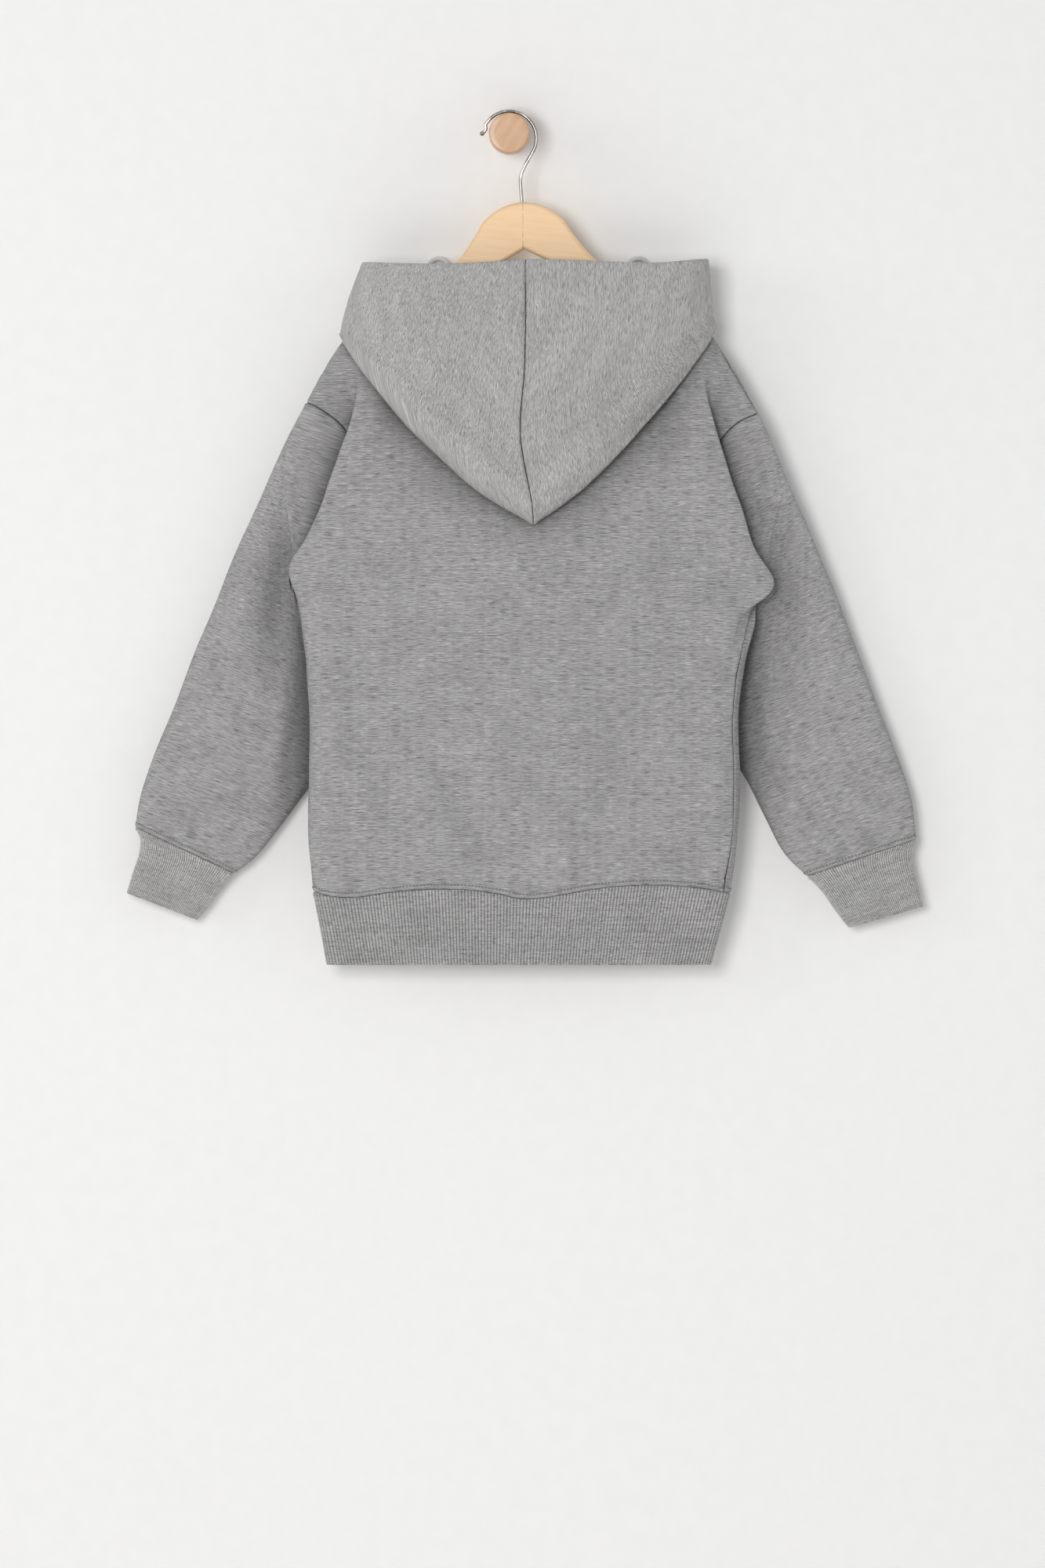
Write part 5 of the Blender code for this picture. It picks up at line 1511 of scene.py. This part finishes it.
creaseNames = "x0 z0 x1 z1 x2 z2 wide deep face"  # face: -1 the side to the room, 1 the side to the wall
creases = {
    "back_panel": table(
        creaseNames,
        (-118, -365, -118, -390, -111, -414, 9, -1.6, -1), (133, -358, 138, -400, 137, -442, 10, -1.6, -1),
        (98, -497, 92, -560, 81, -638, 13, -2.0, -1), (-126, -532, -112, -590, -98, -640, 12, -2.0, -1),
        (-74, -546, -48, -600, -14, -672, 11, -2.4, -1), (28, -581, 46, -630, 60, -672, 17, 2.0, -1),
        (140, -638, 165, -655, 196, -672, 16, -2.2, -1), (162, -472, 190, -476, 208, -486, 6, -1.3, -1),
        (155, -398, 185, -396, 216, -402, 6, -1.4, -1), (-178, -470, -160, -520, -150, -585, 14, 1.6, -1),
        (184, -188, 202, -214, 219, -246, 3.2, -0.9, -1),
        (-120, -440, -60, -470, 0, -478, 26, 1.2, -1), (20, -395, 60, -460, 66, -540, 24, -1.2, -1),
        (-60, -655, -56, -668, -58, -677, 4, -1.2, -1), (120, -655, 122, -666, 121, -674, 4, -1.0, -1),
        (-136, -664, -138, -674, -140, -682, 4, -1.1, -1), (22, -668, 20, -676, 20, -683, 4, -1.1, -1),
    ),
    "front_panel": table(
        creaseNames,
        (-110, -330, -104, -400, -90, -460, 14, -2.0, 1), (128, -340, 118, -420, 110, -500, 15, -2.0, 1),
        (-60, -520, -40, -590, -20, -670, 14, -2.2, 1), (70, -500, 84, -580, 76, -660, 14, -2.0, 1),
        (-150, -520, -130, -600, -128, -660, 11, 1.8, 1), (10, -300, 14, -380, 8, -450, 22, 1.4, 1),
        (150, -600, 166, -640, 170, -672, 9, -1.6, 1), (-120, -250, -80, -300, -20, -320, 12, -1.3, 1),
        (150, -250, 110, -300, 50, -320, 12, -1.3, 1),
    ),
    "sleeve_left": table(
        creaseNames,
        (-190, -300, -204, -400, -214, -500, 13, -2.2, -1), (-232, -380, -240, -460, -262, -540, 15, 1.6, -1),
        (-250, -590, -282, -606, -312, -606, 9, -1.8, -1), (-226, -618, -258, -636, -276, -630, 7, -1.5, -1),
        (-284, -612, -282, -622, -283, -632, 4.5, -2.2, -1), (-296, -604, -297, -614, -298, -624, 4, 1.4, -1),
        (-196, -470, -204, -540, -216, -600, 10, 1.5, -1), (-250, -480, -272, -520, -300, -560, 12, -1.1, -1),
        (-200, -320, -215, -420, -232, -520, 14, -2.0, 1), (-240, -560, -280, -590, -310, -590, 10, -1.8, 1),
        (-230, -420, -250, -480, -280, -540, 14, 1.5, 1),
    ),
    "sleeve_right": table(
        creaseNames,
        (238, -330, 246, -420, 250, -500, 14, -1.8, -1), (262, -400, 280, -470, 300, -530, 14, 1.6, -1),
        (256, -610, 290, -628, 330, -622, 9, -1.8, -1), (300, -560, 322, -588, 346, -600, 10, -1.4, -1),
        (226, -560, 240, -590, 262, -622, 8, -1.5, -1), (296, -630, 297, -642, 296, -652, 4.5, -1.6, -1),
        (322, -620, 323, -630, 321, -640, 4.5, -1.4, -1), (228, -470, 226, -530, 240, -590, 10, 1.4, -1),
        (244, -350, 256, -440, 262, -520, 14, -1.8, 1), (260, -590, 300, -618, 336, -610, 10, -1.8, 1),
    ),
    "hood_left": table(
        creaseNames,
        (-128, -178, -90, -222, -40, -262, 15, -1.5, -1), (-60, -128, -78, -170, -100, -196, 14, 1.3, -1),
        (-30, -150, -34, -200, -22, -258, 18, -1.2, -1), (-140, -150, -132, -175, -134, -196, 8, -1.2, -1),
        (-86, -238, -40, -282, 6, -318, 9, 1.3, -1), (-60, -150, -90, -190, -80, -226, 16, -1.6, 1),
    ),
    "hood_right": table(
        creaseNames,
        (165, -182, 104, -250, 28, -301, 11, 3.6, -1), (176, -205, 120, -262, 48, -318, 8, -1.6, -1),
        (140, -170, 92, -222, 34, -272, 12, -1.8, -1), (60, -130, 84, -160, 120, -178, 14, 1.2, -1),
        (176, -125, 166, -150, 170, -176, 9, -1.2, -1), (90, -140, 110, -190, 96, -230, 16, -1.6, 1),
    ),
}

# each cloth piece: its look, slot, flat cut in metres and share of that rectangle, what it rests on,
# and how far its grain is turned
pieceCuts = {
    "back_panel": ("body fleece", "fleece", (0.46, 0.60), 0.88, "hanger_bar", 0.0),
    "front_panel": ("body fleece", "fleece", (0.46, 0.57), 0.86, "hanger_bar", 0.0),
    "sleeve_left": ("body fleece", "fleece", (0.31, 0.42), 0.63, "front_panel", -0.32),
    "sleeve_right": ("body fleece", "fleece", (0.31, 0.42), 0.63, "front_panel", 0.33),
    "cuff_left": ("cuff rib", "rib", (0.19, 0.065), 0.9, "sleeve_left", -0.36),
    "cuff_right": ("cuff rib", "rib", (0.19, 0.065), 0.9, "sleeve_right", 0.36),
    "hem_band": ("hem rib", "rib", (0.74, 0.068), 0.95, "back_panel", 0.0),
    "hood_left": ("hood fleece", "hood_fleece", (0.29, 0.36), 0.85, "back_panel", 0.0),
    "hood_right": ("hood fleece", "hood_fleece", (0.29, 0.36), 0.85, "back_panel", 0.0),
}


# A cloth piece from its control grid, with its finished grid and directions
def finishCloth(name, grid, directions, closed, material, seed):
    _, slotName, _, _, _, tilt = pieceCuts[name]
    folded = name.startswith(("cuff", "hem", "hood"))
    ribs = ribKnit["ribs"].get(name)
    base, outward = finer(grid, directions, closed, ribs, folded)
    uv = unroll(base, tilt, closed, name.startswith("hood"))
    lift = unevenness(base, seed, uneven["ribHeight"] if ribs else uneven["height"])
    if name in creases:
        lift += crease(base, outward, creases[name])
    base = sewEdges(base + outward * lift[:, :, None], outward, closed, folded)
    relief = np.zeros(base.shape[:2])
    if ribs:
        place = np.arange(uv.shape[1]) / ribKnit["columns"]
        uv[:, :, 0] = place * ribKnit["pitch"]
        wave = np.abs(np.cos(place[:-1] * math.pi)) ** ribKnit["bluntness"]
        relief += ribKnit["depth"] * (2 * wave - ribKnit["sunk"])
    thickness = cloth["rib"] if ribs else cloth["fleece"]
    piece = clothPiece(name + "_cloth", base, outward, closed, thickness, folded, uv, relief, material)
    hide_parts(name)
    return piece, base, outward


def makeGarment(groups):
    back, front = torso()
    arm = torsoCut["armRows"] + len(torsoCut["ridgeTurns"]) + 1
    body = surface([back[:, ::-1], front])
    sleeveLeft = sleeve(sleeveCut["left"], back[:arm, 0], front[:arm, 0])
    sleeveRight = sleeve(sleeveCut["right"], back[:arm, -1], front[:arm, -1])
    hoodLeft, hoodRight = hood(back, front, body)
    # each control grid, and whether it closes round
    skins = {
        "back_panel": (back[:, ::-1], False),
        "front_panel": (front, False),
        "sleeve_left": (sleeveLeft[:, ::-1], True),
        "sleeve_right": (sleeveRight, True),
        "cuff_left": (cuff(cuffCut["left"], sleeveLeft[-1])[:, ::-1], True),
        "cuff_right": (cuff(cuffCut["right"], sleeveRight[-1]), True),
        "hem_band": (hemBand(back[-1], front[-1])[:, ::-1], True),
        "hood_left": (hoodLeft, False),
        "hood_right": (hoodRight, False),
    }
    looks = {look: marlMaterial(look, groups) for look in marlCloth}
    directions = sharedNormals(skins)
    made = {}
    for seed, (name, (grid, closed)) in enumerate(skins.items(), uneven["seed"]):
        made[name] = finishCloth(name, grid, directions[name], closed, looks[pieceCuts[name][0]], seed)
        print("cloth", name, len(made[name][0].data.polygons), "faces")
    return made


def sewAndDeclare(made, thread):
    partners = {name: [] for name in made}
    for name, panels in stitchWork["through"].items():
        lines = [lineAbove(*made[panel][1:], stitchWork["aboveSeam"]) for panel in panels]
        sewn = stitching(name, lines, thread)
        partners[panels[0]].append(sewn)
    loose = np.array(stitchWork["loose"], float)
    far = lengths(loose)
    line = smooth(far, loose, np.linspace(0, far[-1], stitchWork["loosePoints"]))
    end = tube("loose_thread", line, stitchWork["thick"], stitchWork["sides"], thread)
    partners["back_panel"].append(end)


# Room, light and camera


room = {
    "wall": (0.872, 0.866, 0.858),
    "mottle": 0.985,  # the paint's darker patches
    "halfWidth": 5.0,
    "top": 3.5,
    "floorDrop": 1.7,
    "floorDepth": 7.0,
    "sky": (0.97, 0.985, 1.0),
    "skyStrength": 0.38,
    # place, side and watts of each lamp
    "lamps": {
        "window light": (-1.2, -5.5, 0.05, 1.7, 138),
        "side light": (-4.4, -2.4, 0.5, 2.2, 28),  # low along the wall, it brings out the folds
        "fill light": (4.4, -2.4, 0.3, 2.6, 18),  # its weaker answer from the right, which softens the shadow
        "rear light": (0.6, 2.6, 0.2, 2.4, 34),  # from behind the wall, for the side that hangs against it
    },
    "viewHeight": 1.4,  # what the frame holds at the garment
    "lookAt": (0.0119, -0.055, -0.58135),
    "distance": 19.945,
    "sensor": 36.0,
}


# Pale paint that is seen from the room only, and lets the rear light through
def paintMaterial(name, grain):
    material, tree, shader, place = newMaterial(name)
    colour = room["wall"]
    lower = tuple(value * room["mottle"] for value in colour)
    mottle = noise(tree, place, grain, Detail=4.0)
    painted = mixColour(tree, rampBetween(tree, mottle, 0.3, 0.7), lower, colour)
    dress(tree, shader, painted, (mottle, 0.08, 0.001), Roughness=0.9, Specular_IOR_Level=0.1)
    shadow = node(tree, "LightPath").outputs["Is Shadow Ray"]
    through = mathNode(tree, "MAXIMUM", node(tree, "NewGeometry").outputs["Backfacing"], shadow)
    mixShaders(tree, through, shader, node(tree, "BsdfTransparent"), "Material Output")
    return material


def stageSheet(name, corners, material):
    mesh = bpy.data.meshes.new(name)
    mesh.from_pydata(corners, [], [(0, 1, 2, 3)])
    mesh.materials.append(material)
    linked(name, mesh)


def areaLight(name, x, y, z, side, watts):
    lamp = bpy.data.lights.new(name, "AREA")
    lamp.shape, lamp.size, lamp.energy = "SQUARE", side, watts
    light = linked(name, lamp)
    light.location = (x, y, z)
    aim = np.array(room["lookAt"]) - (x, y, z)
    light.rotation_euler = Vector(aim).to_track_quat("-Z", "Y").to_euler()


def makeRoom():
    scene = bpy.context.scene
    wide, top, low, near = room["halfWidth"], room["top"], -room["floorDrop"], -room["floorDepth"]
    wall, floor = paintMaterial("white wall paint", 60.0), paintMaterial("pale floor", 20.0)
    stageSheet("wall", [(-wide, 0, low), (wide, 0, low), (wide, 0, top), (-wide, 0, top)], wall)
    stageSheet("floor", [(-wide, near, low), (wide, near, low), (wide, 0, low), (-wide, 0, low)], floor)
    world = bpy.data.worlds.new("soft room light")
    scene.world = world
    world.use_nodes = True
    tree = world.node_tree
    sky = tree.nodes["Background"]
    sky.inputs["Color"].default_value = (*room["sky"], 1)
    sky.inputs["Strength"].default_value = room["skyStrength"]
    plain = node(tree, "Background", None, Color=(1, 1, 1, 1), Strength=1.0)
    path = node(tree, "LightPath").outputs
    seen = mathNode(tree, "MAXIMUM", path["Is Camera Ray"], path["Is Glossy Ray"])
    seen = mathNode(tree, "MAXIMUM", seen, path["Is Transmission Ray"])
    mixShaders(tree, seen, sky, plain, "World Output")
    for name, lamp in room["lamps"].items():
        areaLight(name, *lamp)
    scene.view_settings.view_transform = "Standard"
    lens = bpy.data.cameras.new("camera")
    lens.sensor_width = room["sensor"]
    lens.lens = room["sensor"] * room["distance"] / room["viewHeight"]
    lens.clip_end = 100.0
    scene.camera = linked("camera", lens)
    x, y, z = room["lookAt"]
    scene.camera.location = (x, y - room["distance"], z)
    scene.camera.rotation_euler = (math.pi / 2, 0, 0)
    print("room, light and camera")


makeRoom()
# the rib and valley groups paint shade into the cloth's colour
groups = {"marl": marlGroup(), "nap": napGroup(), "rib": paintedRibShadeGroup(), "valley": paintedFoldShadeGroup()}
cordLook = cordMaterial(groups)
for sideName, row in zip(("left", "right"), zip(*cordLay["sides"].values())):
    drawcord(sideName, cordRoute(*row), cordLook)
print("drawcords")
made = makeGarment(groups)
sewAndDeclare(made, threadMaterial())
hangerWood(woodMaterial("hanger"))
pegWood(woodMaterial("peg"))
hookWire(chromeMaterial())
print("hanger, hook and peg")
